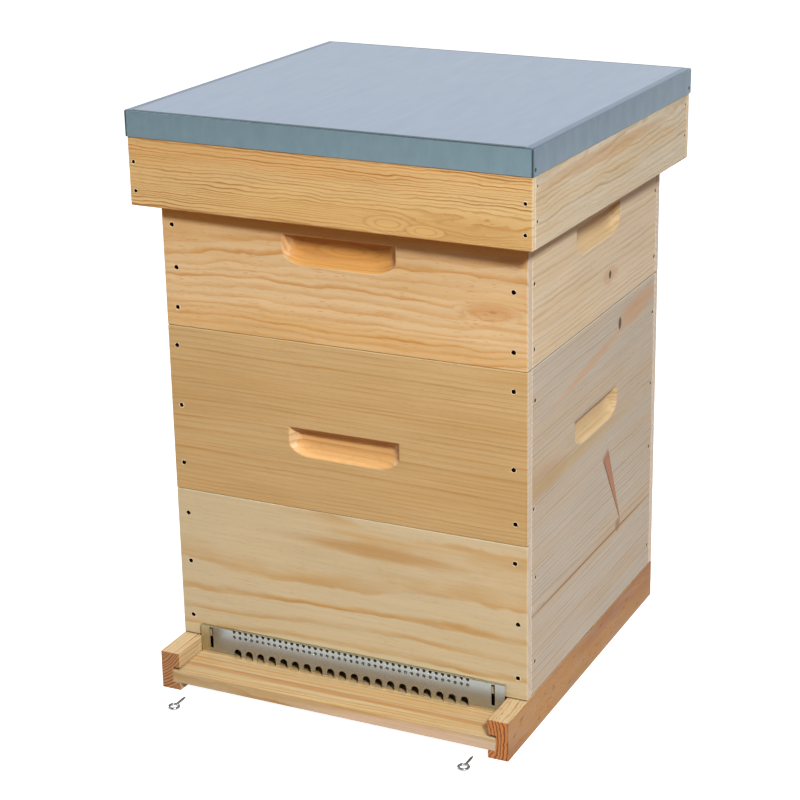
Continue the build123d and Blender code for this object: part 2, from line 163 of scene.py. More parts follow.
@dataclass(frozen=True)
class Mark:
    """A knot, streak, scar or patch of painted light or shade in a board: an ellipse or a bar on
    one face that goes straight in.
    """

    face: Face
    centre_mm: Triple
    length_mm: float
    width_mm: float
    colour: str
    angle_deg: float = 0.0
    strength: float = 0.8
    edge: float = 0.5
    ragged: float = 0.3
    taper: float = 0.0
    bend_mm: float = 0.0
    straight: bool = False
    tip: float = 0.08
    tear: float = 2.2

    def turn(self) -> Euler:
        """Return the turn that lays the mark's length and width on its face."""
        spin = Matrix.Rotation(math.radians(self.angle_deg), 3, "Z")
        return (self.face.axes() @ spin).to_euler()

    def mask(self, tree: Tree, place: Socket) -> Socket:
        """Draw where the mark is.

        Args:
            tree: the board's node tree.
            place: the place in the row frame, in metres.

        Returns:
            One inside the mark and zero outside, with a ragged edge.
        """
        spot = add_node(tree, "Mapping", {
            "Vector": place, "Location": [v * MM for v in self.centre_mm], "Rotation": self.turn(),
            "Scale": (self.length_mm / 2 * MM, self.width_mm / 2 * MM, MM)}, vector_type="TEXTURE")
        along, up, _ = add_node(tree, "SeparateXYZ", {0: spot}).node.outputs
        swell = add_node(tree, "Math", {0: along, 1: -self.taper, 2: 1.0}, operation="MULTIPLY_ADD")
        broad = add_node(tree, "Math", {0: swell, 1: self.tip}, operation="MAXIMUM")
        across = add_node(tree, "Math", {0: up, 1: broad}, operation="DIVIDE")
        flat = add_node(tree, "CombineXYZ", {0: along, 1: across})
        if self.straight:
            sizes = [add_node(tree, "Math", {0: far}, operation="ABSOLUTE")
                     for far in (along, across)]
            reach = add_node(tree, "Math", dict(enumerate(sizes)), operation="MAXIMUM")
        else:
            reach = add_node(tree, "VectorMath", {0: flat}, operation="LENGTH")
        tear = add_node(tree, "TexNoise", {"Vector": flat, "Scale": self.tear, "Detail": 3.0})
        rough = add_node(tree, "Math", {0: tear, 1: 2 * self.ragged, 2: reach},
                         operation="MULTIPLY_ADD")
        limit = 1.0 + self.ragged
        return add_node(tree, "MapRange", {"Value": rough, "From Min": limit + self.edge / 2,
                                           "From Max": limit - self.edge / 2},
                        interpolation_type="SMOOTHSTEP")


def grazed_rings(face: Face, centre_mm: Triple, size_mm: tuple[float, float], dark: str,
                 pale: str) -> tuple[Mark, ...]:
    """Draw the nested ovals that show where a cut grazes the year rings.

    Args:
        face: the side of the hive.
        centre_mm: the middle of the ovals.
        size_mm: length and width of the outer one.
        dark: the late wood's colour.
        pale: the early wood's colour.

    Returns:
        The marks from the outside in.
    """
    # Each oval's share of the outer one's size, its colour and its strength.
    steps = ((1.0, dark, 0.4), (0.86, pale, 0.6), (0.55, dark, 0.4), (0.44, pale, 0.6))
    return tuple(Mark(face, centre_mm, size_mm[0] * share, size_mm[1] * share, colour,
                      strength=strength, edge=0.18, ragged=0.08)
                 for share, colour, strength in steps)


@dataclass(frozen=True)
class Finish:
    """The look of one real material, drawn by nodes alone."""

    name: str

    def material(self) -> bpy.types.Material:
        """Find the material, or make it the first time.

        Returns:
            The material with all its nodes.
        """
        material = bpy.data.materials.get(self.name)
        if not material:
            material = bpy.data.materials.new(self.name)
            material.use_nodes = True
            tree = material.node_tree
            feed(tree.nodes["Principled BSDF"], self.draw(tree))
        return material

    def draw(self, tree: Tree) -> Inputs:
        """Add the nodes to a tree and return what the surface shader takes."""
        raise NotImplementedError


@dataclass(frozen=True)
class Timber(Finish):
    """Planed bare softwood: dull, pale early wood between darker late-wood lines, fibres and ducts.

    The log lies along the grain, its pith is where the rings have their middle, and the marks are
    what else shows on the board. The milled tints and ovals are for a hand-hold cut into it.
    """

    early: str
    late: str
    heart: str
    end: tuple[str, str]
    grain: Grain
    pith_mm: Triple
    tilt_deg: tuple[float, float] = (0.0, 0.0)
    ring_mm: float = 5.0
    phase: float = 0.0
    line_start: float = 0.4
    contrast: float = 0.7
    wander_mm: float = 2.0
    figure_mm: float = 0.5
    ripple_mm: float = 0.15
    heart_share: float = 0.25
    flecks: float = 0.35
    end_facing: tuple[float, float] = (0.6, 0.9)
    staves_mm: tuple[float, ...] = ()
    marks: tuple[Mark, ...] = ()
    # The default milled tints are the super front's: darker and more orange than the board, partly
    # the cut's own tone and partly painted shade under the roof's overhang.
    milled: tuple[str, ...] = ("#C8934F", "#A86A2C", "#BC8442", "#CDA470", "#B88C58")
    ovals: tuple[Mark, ...] = ()
    stave_shift_mm: float = 37.7
    noise_spread: float = 8.0
    climate_years: float = 6.0
    climate_drift: float = 3.0
    proud: float = 0.7

    def draw(self, tree: Tree) -> Inputs:
        """Draw the board, with its rings cut from a log in the row frame.

        Args:
            tree: the material's node tree.

        Returns:
            Dull planed wood, whose late wood stands a little proud and shines a little more.
        """
        place = add_node(tree, "TexCoord", {}, "Object")
        # The place in the log in millimetres: x along the grain, y and z from the pith.
        log = add_node(tree, "Mapping", {
            "Vector": place, "Location": [v * MM for v in self.pith_mm],
            "Rotation": self._lie().to_euler(), "Scale": (MM, MM, MM)}, vector_type="TEXTURE")
        masks = [(mark, mark.mask(tree, place)) for mark in self.marks]
        late, year = self._rings(tree, place, log, masks)
        # Fibres 0.8 mm wide and 35 mm long, as coarse as they need to be to show in the render.
        fibre = stretched_noise(tree, log, (35, 0.8, 0.8), 3.0, 0.6)
        colour = self._colour(tree, log, late, year)
        for mark, mask in masks:
            amount = add_node(tree, "Math", {0: mask, 1: mark.strength}, operation="MULTIPLY")
            colour = add_node(tree, "Mix", {0: amount, 6: colour, 7: linear(mark.colour)},
                              data_type="RGBA")
        colour = self._end_grain(tree, place.node.outputs["Normal"], colour, late)
        shaded = add_node(tree, "Mix", {0: 1.0, 6: colour, 7: self._shade(tree, log, fibre)},
                          data_type="RGBA", blend_type="MULTIPLY")
        relief = add_node(tree, "Math", {0: late, 1: self.proud, 2: fibre},
                          operation="MULTIPLY_ADD")
        bump = add_node(tree, "Bump", {"Strength": 0.35, "Distance": 0.12 * MM, "Height": relief})
        gloss = add_node(tree, "MapRange", {"Value": late, "To Min": 0.62, "To Max": 0.5})
        return {"Base Color": shaded, "Roughness": gloss, "Specular IOR Level": 0.4, "IOR": 1.5,
                "Normal": bump}

    def _lie(self) -> Matrix:
        """Return the turn that lays the log's length along the board's fibres."""
        lean = Euler((0.0, *(math.radians(a) for a in self.tilt_deg))).to_matrix()
        return Euler([math.radians(a) for a in self.grain.value]).to_matrix() @ lean

    def _rings(self, tree: Tree, place: Socket, log: Socket,
               masks: list[tuple[Mark, Socket]]) -> tuple[Socket, Socket]:
        """Draw the year rings.

        Args:
            tree: the material's node tree.
            place: the place in the row frame, in metres.
            log: the place in the log, in millimetres.
            masks: the board's marks, which the rings flow round.

        Returns:
            How far each point is late wood, and the number of its year.
        """
        across = add_node(tree, "VectorMath", {0: log, 1: (0.0, 1.0, 1.0)}, operation="MULTIPLY")
        radius = add_node(tree, "VectorMath", {0: across}, operation="LENGTH")
        # Waves in the rings: a slow drift, a finger-long figure and a fine ripple, each with its
        # lengths in millimetres, its detail and its reach.
        waves = (((260, 90, 90), 1.0, self.wander_mm), ((60, 24, 24), 1.5, self.figure_mm),
                 ((18, 7, 7), 1.0, self.ripple_mm))
        shifts = [(stretched_noise(tree, log, lengths, detail), self.noise_spread * spread)
                  for lengths, detail, spread in waves]
        shifts += [(mask, mark.bend_mm) for mark, mask in masks if mark.bend_mm]
        # A glued panel: each stave comes from another part of the log.
        height = add_node(tree, "SeparateXYZ", {0: place}).node.outputs[2]
        shifts += [(add_node(tree, "Math", {0: height, 1: joint * MM}, operation="GREATER_THAN"),
                    self.stave_shift_mm) for joint in self.staves_mm]
        for share, reach in shifts:
            radius = add_node(tree, "Math", {0: share, 1: reach, 2: radius},
                              operation="MULTIPLY_ADD")
        # Wide and narrow years: the count drifts by about one ring over every six.
        years = add_node(tree, "Math", {0: radius, 1: 1 / self.ring_mm, 2: self.phase},
                         operation="MULTIPLY_ADD")
        climate = add_node(tree, "Math", {0: years, 1: self.climate_years}, operation="DIVIDE")
        drift = add_node(tree, "TexNoise", {"W": climate, "Scale": 1.0, "Detail": 2.0},
                         noise_dimensions="1D")
        count = add_node(tree, "Math", {0: drift, 1: self.climate_drift, 2: years},
                         operation="MULTIPLY_ADD")
        season, year = (add_node(tree, "Math", {0: count}, operation=part)
                        for part in ("FRACT", "FLOOR"))
        # Late wood deepens slowly over the season and stops short at the end of the year.
        limits = ((self.line_start, 0.9), (1.0, 0.92))
        rise, stop = (add_node(tree, "MapRange", {
            "Value": season, "From Min": none, "From Max": full},
            interpolation_type="SMOOTHSTEP") for none, full in limits)
        return add_node(tree, "Math", {0: rise, 1: stop}, operation="MULTIPLY"), year

    def _colour(self, tree: Tree, log: Socket, late: Socket, year: Socket) -> Socket:
        """Mix early wood, late wood, heart stain and resin ducts.

        Args:
            tree: the material's node tree.
            log: the place in the log, in millimetres.
            late: how far each point is late wood.
            year: the number of its year.

        Returns:
            The colour along the grain.
        """
        dry = add_node(tree, "TexWhiteNoise", {"W": year}, noise_dimensions="1D")
        weight = add_node(tree, "MapRange", {"Value": dry, "To Min": 0.35 * self.contrast,
                                             "To Max": self.contrast})
        # A line fades out and comes back along the board, over about a hand's breadth.
        fade = stretched_noise(tree, log, (110, 14, 14), 2.0)
        share = add_node(tree, "MapRange", {"Value": fade, "From Min": 0.3, "From Max": 0.65,
                                            "To Min": 0.25})
        line = add_node(tree, "Math", {0: late, 1: weight}, operation="MULTIPLY")
        depth = add_node(tree, "Math", {0: line, 1: share}, operation="MULTIPLY")
        # Heart stain: bands some 30 mm high that run along the board, under the lines.
        stain = stretched_noise(tree, log, (320, 30, 30), 2.0)
        band = add_node(tree, "MapRange", {"Value": stain, "From Min": 0.38, "From Max": 0.7,
                                           "To Max": 2 * self.heart_share},
                        interpolation_type="SMOOTHSTEP")
        # Resin ducts: brown dashes, 9 mm long and under a millimetre wide.
        duct = stretched_noise(tree, log, (9, 0.9, 0.9), 0.0)
        fleck = add_node(tree, "MapRange", {"Value": duct, "From Min": 0.68, "From Max": 0.8,
                                            "To Max": self.flecks}, interpolation_type="SMOOTHSTEP")
        colour = linear(self.early)
        for amount, tint in ((band, self.heart), (depth, self.late), (fleck, self.late)):
            colour = add_node(tree, "Mix", {0: amount, 6: colour, 7: linear(tint)},
                              data_type="RGBA")
        return colour

    def _end_grain(self, tree: Tree, normal: Socket, colour: Socket, late: Socket) -> Socket:
        """Lay the sawn end grain's own colour on faces that the fibres run into.

        Args:
            tree: the material's node tree.
            normal: the face's normal.
            colour: the colour along the grain.
            late: how far each point is late wood.

        Returns:
            The colour of both kinds of faces.
        """
        along = self._lie() @ Vector((1.0, 0.0, 0.0))
        facing = add_node(tree, "VectorMath", {0: normal, 1: along}, operation="DOT_PRODUCT")
        size = add_node(tree, "Math", {0: facing}, operation="ABSOLUTE")
        low, high = self.end_facing
        cut = add_node(tree, "MapRange", {"Value": size, "From Min": low, "From Max": high},
                       interpolation_type="SMOOTHSTEP")
        pale, dark = self.end
        sawn = add_node(tree, "Mix", {0: late, 6: linear(pale), 7: linear(dark)}, data_type="RGBA")
        return add_node(tree, "Mix", {0: cut, 6: colour, 7: sawn}, data_type="RGBA")

    def _shade(self, tree: Tree, log: Socket, fibre: Socket) -> Socket:
        """Shade the wood with its fibres, long streaks, and clouds as large as a hand.

        Args:
            tree: the material's node tree.
            log: the place in the log, in millimetres.
            fibre: the noise of the fibres.

        Returns:
            What the colour is multiplied by, around one.
        """
        shade = add_node(tree, "MapRange", {"Value": fibre, "From Min": 0.25, "From Max": 0.75,
                                            "To Min": 0.94, "To Max": 1.04})
        for lengths, spread in (((150, 4, 4), 0.06), ((120, 60, 60), 0.03)):
            tone = stretched_noise(tree, log, lengths, 2.0)
            light = add_node(tree, "MapRange", {"Value": tone, "From Min": 0.25, "From Max": 0.75,
                                                "To Min": 1 - spread, "To Max": 1 + spread})
            shade = add_node(tree, "Math", {0: shade, 1: light}, operation="MULTIPLY")
        return shade


@dataclass(frozen=True)
class ZincSheet(Finish):
    """Hot-dip galvanised sheet steel: blue-grey, half dull, with drawn streaks and faint spangle.

    Between two heights it can fade to a painted reflection: the tone of what it mirrors.
    """

    pale: str
    dark: str
    roughness: float
    streak_mm: Triple
    streak_share: float = 0.5
    spangle_mm: float = 9.0
    wave: float = 0.1
    reflection_mm: tuple[float, float] = (0.0, 0.0)
    reflected_tone: str = "#FFFFFF"
    swell_m: float = 0.12
    spangle: float = 0.12

    def draw(self, tree: Tree) -> Inputs:
        """Draw the sheet.

        Args:
            tree: the material's node tree.

        Returns:
            Metal with streaks, spangle and the slight wave of thin sheet.
        """
        place = add_node(tree, "TexCoord", {}, "Object")
        streak = stretched_noise(tree, place, [v * MM for v in self.streak_mm], 4.0, 0.6)
        cells = add_node(tree, "TexVoronoi", {"Vector": place, "Scale": 1 / (self.spangle_mm * MM),
                                              "Randomness": 1.0}, "Color", feature="F1")
        cell = add_node(tree, "SeparateColor", {"Color": cells})
        blotch = add_node(tree, "Math", {0: cell, 1: self.spangle, 2: streak},
                          operation="MULTIPLY_ADD")
        share = add_node(tree, "MapRange", {"Value": blotch, "From Min": 0.32, "From Max": 0.78,
                                            "To Max": self.streak_share})
        colour = add_node(tree, "Mix", {0: share, 6: linear(self.pale), 7: linear(self.dark)},
                          data_type="RGBA")
        if any(self.reflection_mm):
            height = add_node(tree, "SeparateXYZ", {0: place}).node.outputs[2]
            start, end = self.reflection_mm
            reflected_share = add_node(tree, "MapRange", {
                "Value": height, "From Min": start * MM, "From Max": end * MM},
                interpolation_type="SMOOTHSTEP")
            colour = add_node(tree, "Mix", {0: reflected_share, 6: colour, 7: linear(self.reflected_tone)},
                              data_type="RGBA")
        gloss = add_node(tree, "MapRange", {"Value": streak, "From Min": 0.3, "From Max": 0.7,
                                            "To Min": self.roughness - 0.02,
                                            "To Max": self.roughness + 0.03})
        # Thin sheet never lies quite flat: swells about 120 mm long.
        swell = add_node(tree, "TexNoise", {"Vector": place, "Scale": 1 / self.swell_m,
                                            "Detail": 1.0})
        bump = add_node(tree, "Bump", {"Strength": self.wave, "Distance": 2 * MM, "Height": swell})
        return {"Base Color": colour, "Metallic": 1.0, "Roughness": gloss, "Normal": bump}


@dataclass(frozen=True)
class WireSteel(Finish):
    """Drawn steel wire and nails: bright or blackened metal with small scratches of handling."""

    pale: str
    dark: str
    roughness: float
    scuff_mm: float = 1.0

    def draw(self, tree: Tree) -> Inputs:
        """Draw the wire.

        Args:
            tree: the material's node tree.

        Returns:
            Metal with scuffs about a millimetre long.
        """
        place = add_node(tree, "TexCoord", {}, "Object")
        scuff = add_node(tree, "TexNoise", {"Vector": place, "Scale": 1 / (self.scuff_mm * MM),
                                            "Detail": 3.0})
        share = add_node(tree, "MapRange", {"Value": scuff, "From Min": 0.35, "From Max": 0.7})
        colour = add_node(tree, "Mix", {0: share, 6: linear(self.pale), 7: linear(self.dark)},
                          data_type="RGBA")
        gloss = add_node(tree, "MapRange", {"Value": scuff, "To Min": self.roughness - 0.08,
                                            "To Max": self.roughness + 0.12})
        return {"Base Color": colour, "Metallic": 1.0, "Roughness": gloss}


def select_only(piece: Piece) -> None:
    """Select one object and make it active.

    Args:
        piece: the object.
    """
    bpy.ops.object.select_all(action="DESELECT")
    piece.select_set(True)
    bpy.context.view_layer.objects.active = piece


@contextmanager
def editing(piece: Piece,
            wanted: Optional[Callable[[Vector, Vector], bool]] = None) -> Iterator[None]:
    """Work on a piece in edit mode.

    Args:
        piece: the mesh object.
        wanted: says of a face's middle and normal whether it is selected. Without it, all are.

    Yields:
        Nothing, with the faces selected.
    """
    select_only(piece)
    bpy.ops.object.mode_set(mode="EDIT")
    bpy.ops.mesh.select_mode(type="FACE")
    bpy.ops.mesh.select_all(action="DESELECT" if wanted else "SELECT")
    if wanted:
        bpy.ops.object.mode_set(mode="OBJECT")
        for polygon in piece.data.polygons:
            polygon.select = wanted(polygon.center, polygon.normal)
        bpy.ops.object.mode_set(mode="EDIT")
    yield
    bpy.ops.object.mode_set(mode="OBJECT")


def primitive(add: Callable[..., Any], **settings: Any) -> Piece:
    """Add a mesh primitive to be shaped, with nothing else selected and its place in its mesh.

    Args:
        add: the operator that adds it.
        settings: its size and place.

    Returns:
        The new object.
    """
    bpy.ops.object.select_all(action="DESELECT")
    add(**settings)
    bpy.ops.object.transform_apply(location=True, rotation=True, scale=True)
    return bpy.context.object


def paint(piece: Piece, *finishes: Finish) -> None:
    """Give a piece its finishes: the first all over, the others for some of its faces.

    Args:
        piece: the mesh object.
        finishes: the finishes in the order of their numbers.
    """
    piece.data.materials.clear()
    for finish in finishes:
        piece.data.materials.append(finish.material())


def apply_modifier(piece: Piece, kind: str, **settings: Any) -> None:
    """Add a modifier to a piece and apply it.

    Args:
        piece: the mesh object.
        kind: the modifier's type.
        settings: the modifier's attributes.
    """
    select_only(piece)
    modifier = piece.modifiers.new(kind.lower(), kind)
    for name, value in settings.items():
        setattr(modifier, name, value)
    bpy.ops.object.modifier_apply(modifier=modifier.name)


def punch(piece: Piece, cutter: Piece) -> None:
    """Cut one piece out of another.

    Args:
        piece: the mesh object that is cut.
        cutter: what is cut out of it, which is used up.
    """
    apply_modifier(piece, "BOOLEAN", operation="DIFFERENCE", solver="EXACT", object=cutter)
    bpy.data.objects.remove(cutter)


def score(piece: Piece, cuts: list[tuple[Vector, Vector]]) -> None:
    """Draw new edges across a piece where planes pass through it.

    Args:
        piece: the mesh object.
        cuts: a point on each plane and its normal.
    """
    for spot, normal in cuts:
        with editing(piece):
            bpy.ops.mesh.bisect(plane_co=spot, plane_no=normal)


def join(pieces: list[Piece], name: str) -> Piece:
    """Join mesh objects into one at the origin.

    Args:
        pieces: the objects, which are used up.
        name: the joined object's name.

    Returns:
        The joined object, with its place in its mesh.
    """
    bpy.ops.object.select_all(action="DESELECT")
    for piece in pieces:
        piece.select_set(True)
    bpy.context.view_layer.objects.active = pieces[0]
    bpy.ops.object.transform_apply(location=True, rotation=True, scale=True)
    if len(pieces) > 1:
        bpy.ops.object.join()
    joined = bpy.context.view_layer.objects.active
    joined.name = name
    joined.data.name = name
    return joined


def copies_at(master: Piece, places: list[Matrix], name: str) -> Piece:
    """Set copies of one small piece at several places and join them.

    Args:
        master: the piece as modelled at the origin, which is used up.
        places: where each copy goes.
        name: the joined object's name.

    Returns:
        The joined object.
    """
    made = []
    for place in places:
        copy = master.copy()
        copy.data = master.data.copy()
        bpy.context.scene.collection.objects.link(copy)
        copy.matrix_world = place
        made.append(copy)
    bpy.data.objects.remove(master)
    bpy.context.view_layer.update()
    return join(made, name)


@dataclass
class Outline:
    """The outside of a box or the roof in plan: half its width and depth, its middle, its turn."""

    half_width: float
    half_depth: float
    mid_y: float
    turn_deg: float = 0.0

    def half(self, face: Face) -> float:
        """Return half the width of a face."""
        return self.half_depth if abs(face.value[1]) > MOSTLY else self.half_width

    def on_face(self, face: Face, along_mm: float, up_mm: float) -> Matrix:
        """Find a place on a face.

        Args:
            face: the side of the hive.
            along_mm: distance from the face's left edge, as seen from outside.
            up_mm: height above the ground.

        Returns:
            A placement with x along the face, y up and z straight out of it.
        """
        axes = face.axes()
        half = self.half(face)
        reach = self.half_width + self.half_depth - half
        point = axes.col[2] * reach + axes.col[0] * (along_mm * MM - half) + UP * (up_mm * MM)
        turned = Matrix.Rotation(math.radians(self.turn_deg), 4, "Z")
        return (Matrix.Translation((0.0, self.mid_y, 0.0)) @ turned
                @ (Matrix.Translation(point) @ axes.to_4x4()))


@dataclass
class Nails:
    """Round wire nails driven a little below the wood, each in a punched hole with a torn rim."""

    hole_mm: float = 5.6
    hole_sides: int = 14
    sink_mm: float = 1.3
    head_mm: float = 5.2
    head_sides: int = 12
    thick_mm: float = 0.8
    dome_mm: tuple[float, float] = (0.5, 0.25)
    rim_mm: float = 0.3
    rim_flat: float = 0.4
    torn_mm: float = 0.35
    finish: WireSteel = WireSteel("blackened_nail_steel", "#1A120C", "#080503", 0.85)

    def pierce(self, board: Piece, places: list[Matrix]) -> None:
        """Cut the nail holes into a board.

        Args:
            board: the dressed board.
            places: where the nails are, on the board's outer face.
        """
        pin = primitive(bpy.ops.mesh.primitive_cylinder_add, vertices=self.hole_sides,
                        radius=self.hole_mm / 2 * MM, depth=2 * self.sink_mm * MM)
        punch(board, copies_at(pin, places, f"{board.name}_punch"))

    def heads(self, places: list[Matrix], name: str) -> Piece:
        """Model one nail head and set it in every hole.

        Args:
            places: where the nails are, on the boards' outer faces.
            name: the joined object's name.

        Returns:
            All the heads as one object.
        """
        head = primitive(bpy.ops.mesh.primitive_cylinder_add, vertices=self.head_sides,
                         radius=self.head_mm / 2 * MM, depth=self.thick_mm * MM,
                         location=(0, 0, (self.thick_mm / 2 - self.sink_mm) * MM))
        inset, rise = self.dome_mm
        with editing(head, lambda spot, normal: normal.z > SQUARELY):
            bpy.ops.mesh.inset(thickness=inset * MM)
            bpy.ops.transform.translate(value=(0, 0, rise * MM))
        # No two are driven alike: each is turned another way and beaten more or less oval.
        uneven = []
        for n, place in enumerate(places):
            turn = Matrix.Rotation(0.35 * math.sin(3.1 * n), 4, "Z")
            oval = Matrix.Diagonal((1.05 + 0.12 * math.sin(1.7 * n), 0.85, 1.0, 1.0))
            uneven.append(place @ turn @ oval)
        heads = copies_at(head, uneven, name)
        paint(heads, self.finish)
        return heads

    def rims(self, places: list[Matrix], name: str) -> Piece:
        """Model one rim of torn fibres and lay it round every hole, each turned another way.

        Args:
            places: where the nails are, on the boards' outer faces.
            name: the joined object's name.

        Returns:
            All the rims as one object.
        """
        rim = primitive(bpy.ops.mesh.primitive_torus_add, major_segments=12, minor_segments=4,
                        major_radius=(self.hole_mm / 2 + self.rim_mm) * MM,
                        minor_radius=self.rim_mm * MM)
        with editing(rim):
            bpy.ops.transform.resize(value=(1.0, 1.0, self.rim_flat), center_override=(0, 0, 0))
            bpy.ops.transform.vertex_random(offset=self.torn_mm * MM, seed=4)
        turned = [place @ Matrix.Rotation(2.4 * n, 4, "Z") for n, place in enumerate(places)]
        rims = copies_at(rim, turned, name)
        paint(rims, TORN_WOOD)
        return rims


@dataclass
class SubAssembly:
    """Pieces that belong to one CAD body: dressed copies of its nodes and what is added to them."""

    body: str
    arris_mm: float = 0.8
    pieces: list[Piece] = field(default_factory=list)

    def dress(self, node: str, *finishes: Finish) -> Piece:
        """Make the visible copy of a CAD node: clean faces, eased edges and its finish.

        Args:
            node: the CAD node's name.
            finishes: the finish it gets, and any others for some of its faces.

        Returns:
            The copy, which stands for the node.
        """
        piece = bpy.data.objects.new(f"{node}_dressed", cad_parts[node].data.copy())
        bpy.context.scene.collection.objects.link(piece)
        with editing(piece):
            bpy.ops.mesh.remove_doubles(threshold=0.002 * MM)
            bpy.ops.mesh.dissolve_limited(angle_limit=math.radians(0.5))
        if isinstance(finishes[0], Timber):
            apply_modifier(piece, "BEVEL", width=self.arris_mm * MM, segments=2,
                           limit_method="ANGLE", angle_limit=math.radians(45))
        paint(piece, *finishes)
        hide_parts(node)
        return self.keep(piece)

    def keep(self, piece: Piece, slot: Optional[str] = None) -> Piece:
        """Let a piece ride on the body and note it.

        Args:
            piece: the finished piece.
            slot: the record's material slot, for a piece that stands for no node; not used.

        Returns:
            The same piece.
        """
        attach(piece, self.body)
        self.pieces.append(piece)
        return piece

    def smooth(self) -> None:
        """Smooth the eased edges and bends of every piece, so that its flat faces stay flat."""
        for piece in self.pieces:
            select_only(piece)
            bpy.ops.object.shade_smooth_by_angle(angle=math.radians(40))
            apply_modifier(piece, "WEIGHTED_NORMAL", keep_sharp=True)


@dataclass
class FloorStand(SubAssembly):
    """The floor: two grooved rails, the landing board, two planks and the rear bar."""

    body: str = "floor"
    top_facing: float = 0.7

    def build(self) -> None:
        """Dress the rails and the boards between them."""
        self.dress("rail_left", RAIL_LEFT)
        right = self.dress("rail_right", RAIL_RIGHT, RAIL_TOP)
        for polygon in right.data.polygons:
            polygon.material_index = int(polygon.normal.z > self.top_facing)
        self.dress("landing_board", LANDING)
        for node in ("floor_plank_middle", "floor_plank_rear", "floor_rear_bar"):
            self.dress(node, FLOOR_WOOD)


class GuardPart(IntEnum):
    """Which of the guard's finishes a face has: the foot and the end take a painted reflection of
    bare wood.
    """

    SHEET = 0
    FOOT = 1
    END = 2


@dataclass
class GuardStrip(SubAssembly):
    """The entrance guard: an angle of thin sheet with bee arches, two rows of vents, two slots."""

    body: str = "entrance_guard"
    sheet_mm: float = 0.8
    bend_mm: float = 1.4
    burr_mm: float = 0.15
    arches: int = 20
    pitch_mm: float = 15.0
    arch_mm: tuple[float, float] = (9.0, 11.5)
    vent_mm: float = 3.9
    vent_rows_mm: tuple[float, float] = (1.5, 8.0)
    slot_mm: tuple[float, float] = (4.0, 25.0)
    slot_foot_mm: float = 8.0
    slot_out_mm: float = 176.5
    punch_mm: float = 2.4
    foot_mm: float = 2.6
    end_mm: float = 11.0

    def build(self) -> None:
        """Bend the sheet, punch it and finish it."""
        low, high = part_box("entrance_guard")
        guard = self._sheet(low, high)
        punch(guard, self._punches(low, high))
        apply_modifier(guard, "BEVEL", width=self.burr_mm * MM, segments=1, limit_method="ANGLE",
                       angle_limit=math.radians(60))
        paint(guard, GUARD_ZINC, GUARD_FOOT_REFLECTION, GUARD_END_REFLECTION)
        self._paint_reflections(guard, low)
        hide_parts("entrance_guard")
        self.keep(guard)

    def _paint_reflections(self, guard: Piece, low: Vector) -> None:
        """Paint a warm reflection of bare wood on the foot, the left end and the bend of the sheet.

        Args:
            guard: the punched sheet.
            low: its lowest corner.
        """
        foot = Vector((low.x + self.end_mm * MM, 0.0, low.z + self.foot_mm * MM))
        fold = max(v.co.z for v in guard.data.vertices) - self.bend_mm * MM
        score(guard, [(foot, UP), (foot, Vector((1, 0, 0)))])
        for polygon in guard.data.polygons:
            on_top = polygon.normal.z > HARDLY and polygon.center.z > fold
            part = GuardPart.END if polygon.center.x < foot.x or on_top else GuardPart.SHEET
            polygon.material_index = GuardPart.FOOT if polygon.center.z < foot.z else part

    def _sheet(self, low: Vector, high: Vector) -> Piece:
        """Bend the angle out of a flat strip.

        Args:
            low: the guard's lowest corner.
            high: its highest corner.

        Returns:
            The unpunched angle.
        """
        thick = self.sheet_mm * MM
        middle = (low + high) / 2
        strip = primitive(bpy.ops.mesh.primitive_cube_add, size=1.0,
                          location=(middle.x, low.y + thick / 2, middle.z),
                          scale=(high.x - low.x, thick, high.z - low.z))
        strip.name = "entrance_guard_dressed"
        score(strip, [(Vector((0, 0, high.z - thick)), UP)])
        with editing(strip, lambda spot, normal: normal.y > SQUARELY and spot.z > high.z - thick):
            bpy.ops.mesh.extrude_region_move(
                TRANSFORM_OT_translate={"value": (0, high.y - low.y - thick, 0)})
            bpy.ops.mesh.select_all(action="DESELECT")
        for edge in strip.data.edges:
            ends = [strip.data.vertices[v].co for v in edge.vertices]
            edge.select = all(abs(e.y - low.y) < TINY and abs(e.z - high.z) < TINY for e in ends)
        bpy.ops.object.mode_set(mode="EDIT")
        bpy.ops.mesh.select_mode(type="EDGE")
        bpy.ops.mesh.bevel(offset=self.bend_mm * MM, segments=4, affect="EDGES")
        bpy.ops.mesh.select_mode(type="FACE")
        bpy.ops.object.mode_set(mode="OBJECT")
        return strip

    def _punches(self, low: Vector, high: Vector) -> Piece:
        """Lay out everything that is punched out of the sheet.

        Args:
            low: the guard's lowest corner.
            high: its highest corner.

        Returns:
            The punches, joined into one cutter.
        """
        face = low.y + self.sheet_mm / 2 * MM
        first = -(self.arches - 1) / 2 * self.pitch_mm
        arch_w, arch_h = self.arch_mm
        slot_w, slot_h = self.slot_mm
        arches = [(first + n * self.pitch_mm, arch_h - arch_w / 2) for n in range(self.arches)]
        top = (high.z - low.z) / MM
        vents = [(first - self.pitch_mm / 4 + n * self.pitch_mm / 2, top - row)
                 for n in range(2 * self.arches) for row in self.vent_rows_mm]
        slots = [(side * self.slot_out_mm, self.slot_foot_mm + slot_w / 2) for side in (-1, 1)]
        # Width, sides, turn, which half is drawn out (down -1, up 1) and how far, and the places.
        rows = ((arch_w, 24, 0, -1, arch_h, arches), (self.vent_mm, 14, 0, 0, 0.0, vents),
                (slot_w * math.sqrt(2), 4, 45, 1, slot_h - slot_w, slots))
        cutters = []
        for width, sides, turn, half, stretch, spots in rows:
            pin = primitive(bpy.ops.mesh.primitive_cylinder_add, vertices=sides,
                            radius=width / 2 * MM, depth=self.punch_mm * MM,
                            rotation=(QUARTER, math.radians(turn), 0))
            for vertex in pin.data.vertices:
                if half * vertex.co.z > TINY:
                    vertex.co.z += half * stretch * MM
            places = [Matrix.Translation((x * MM, face, low.z + z * MM)) for x, z in spots]
            cutters.append(copies_at(pin, places, "guard_punches"))
        return join(cutters, "guard_punches")


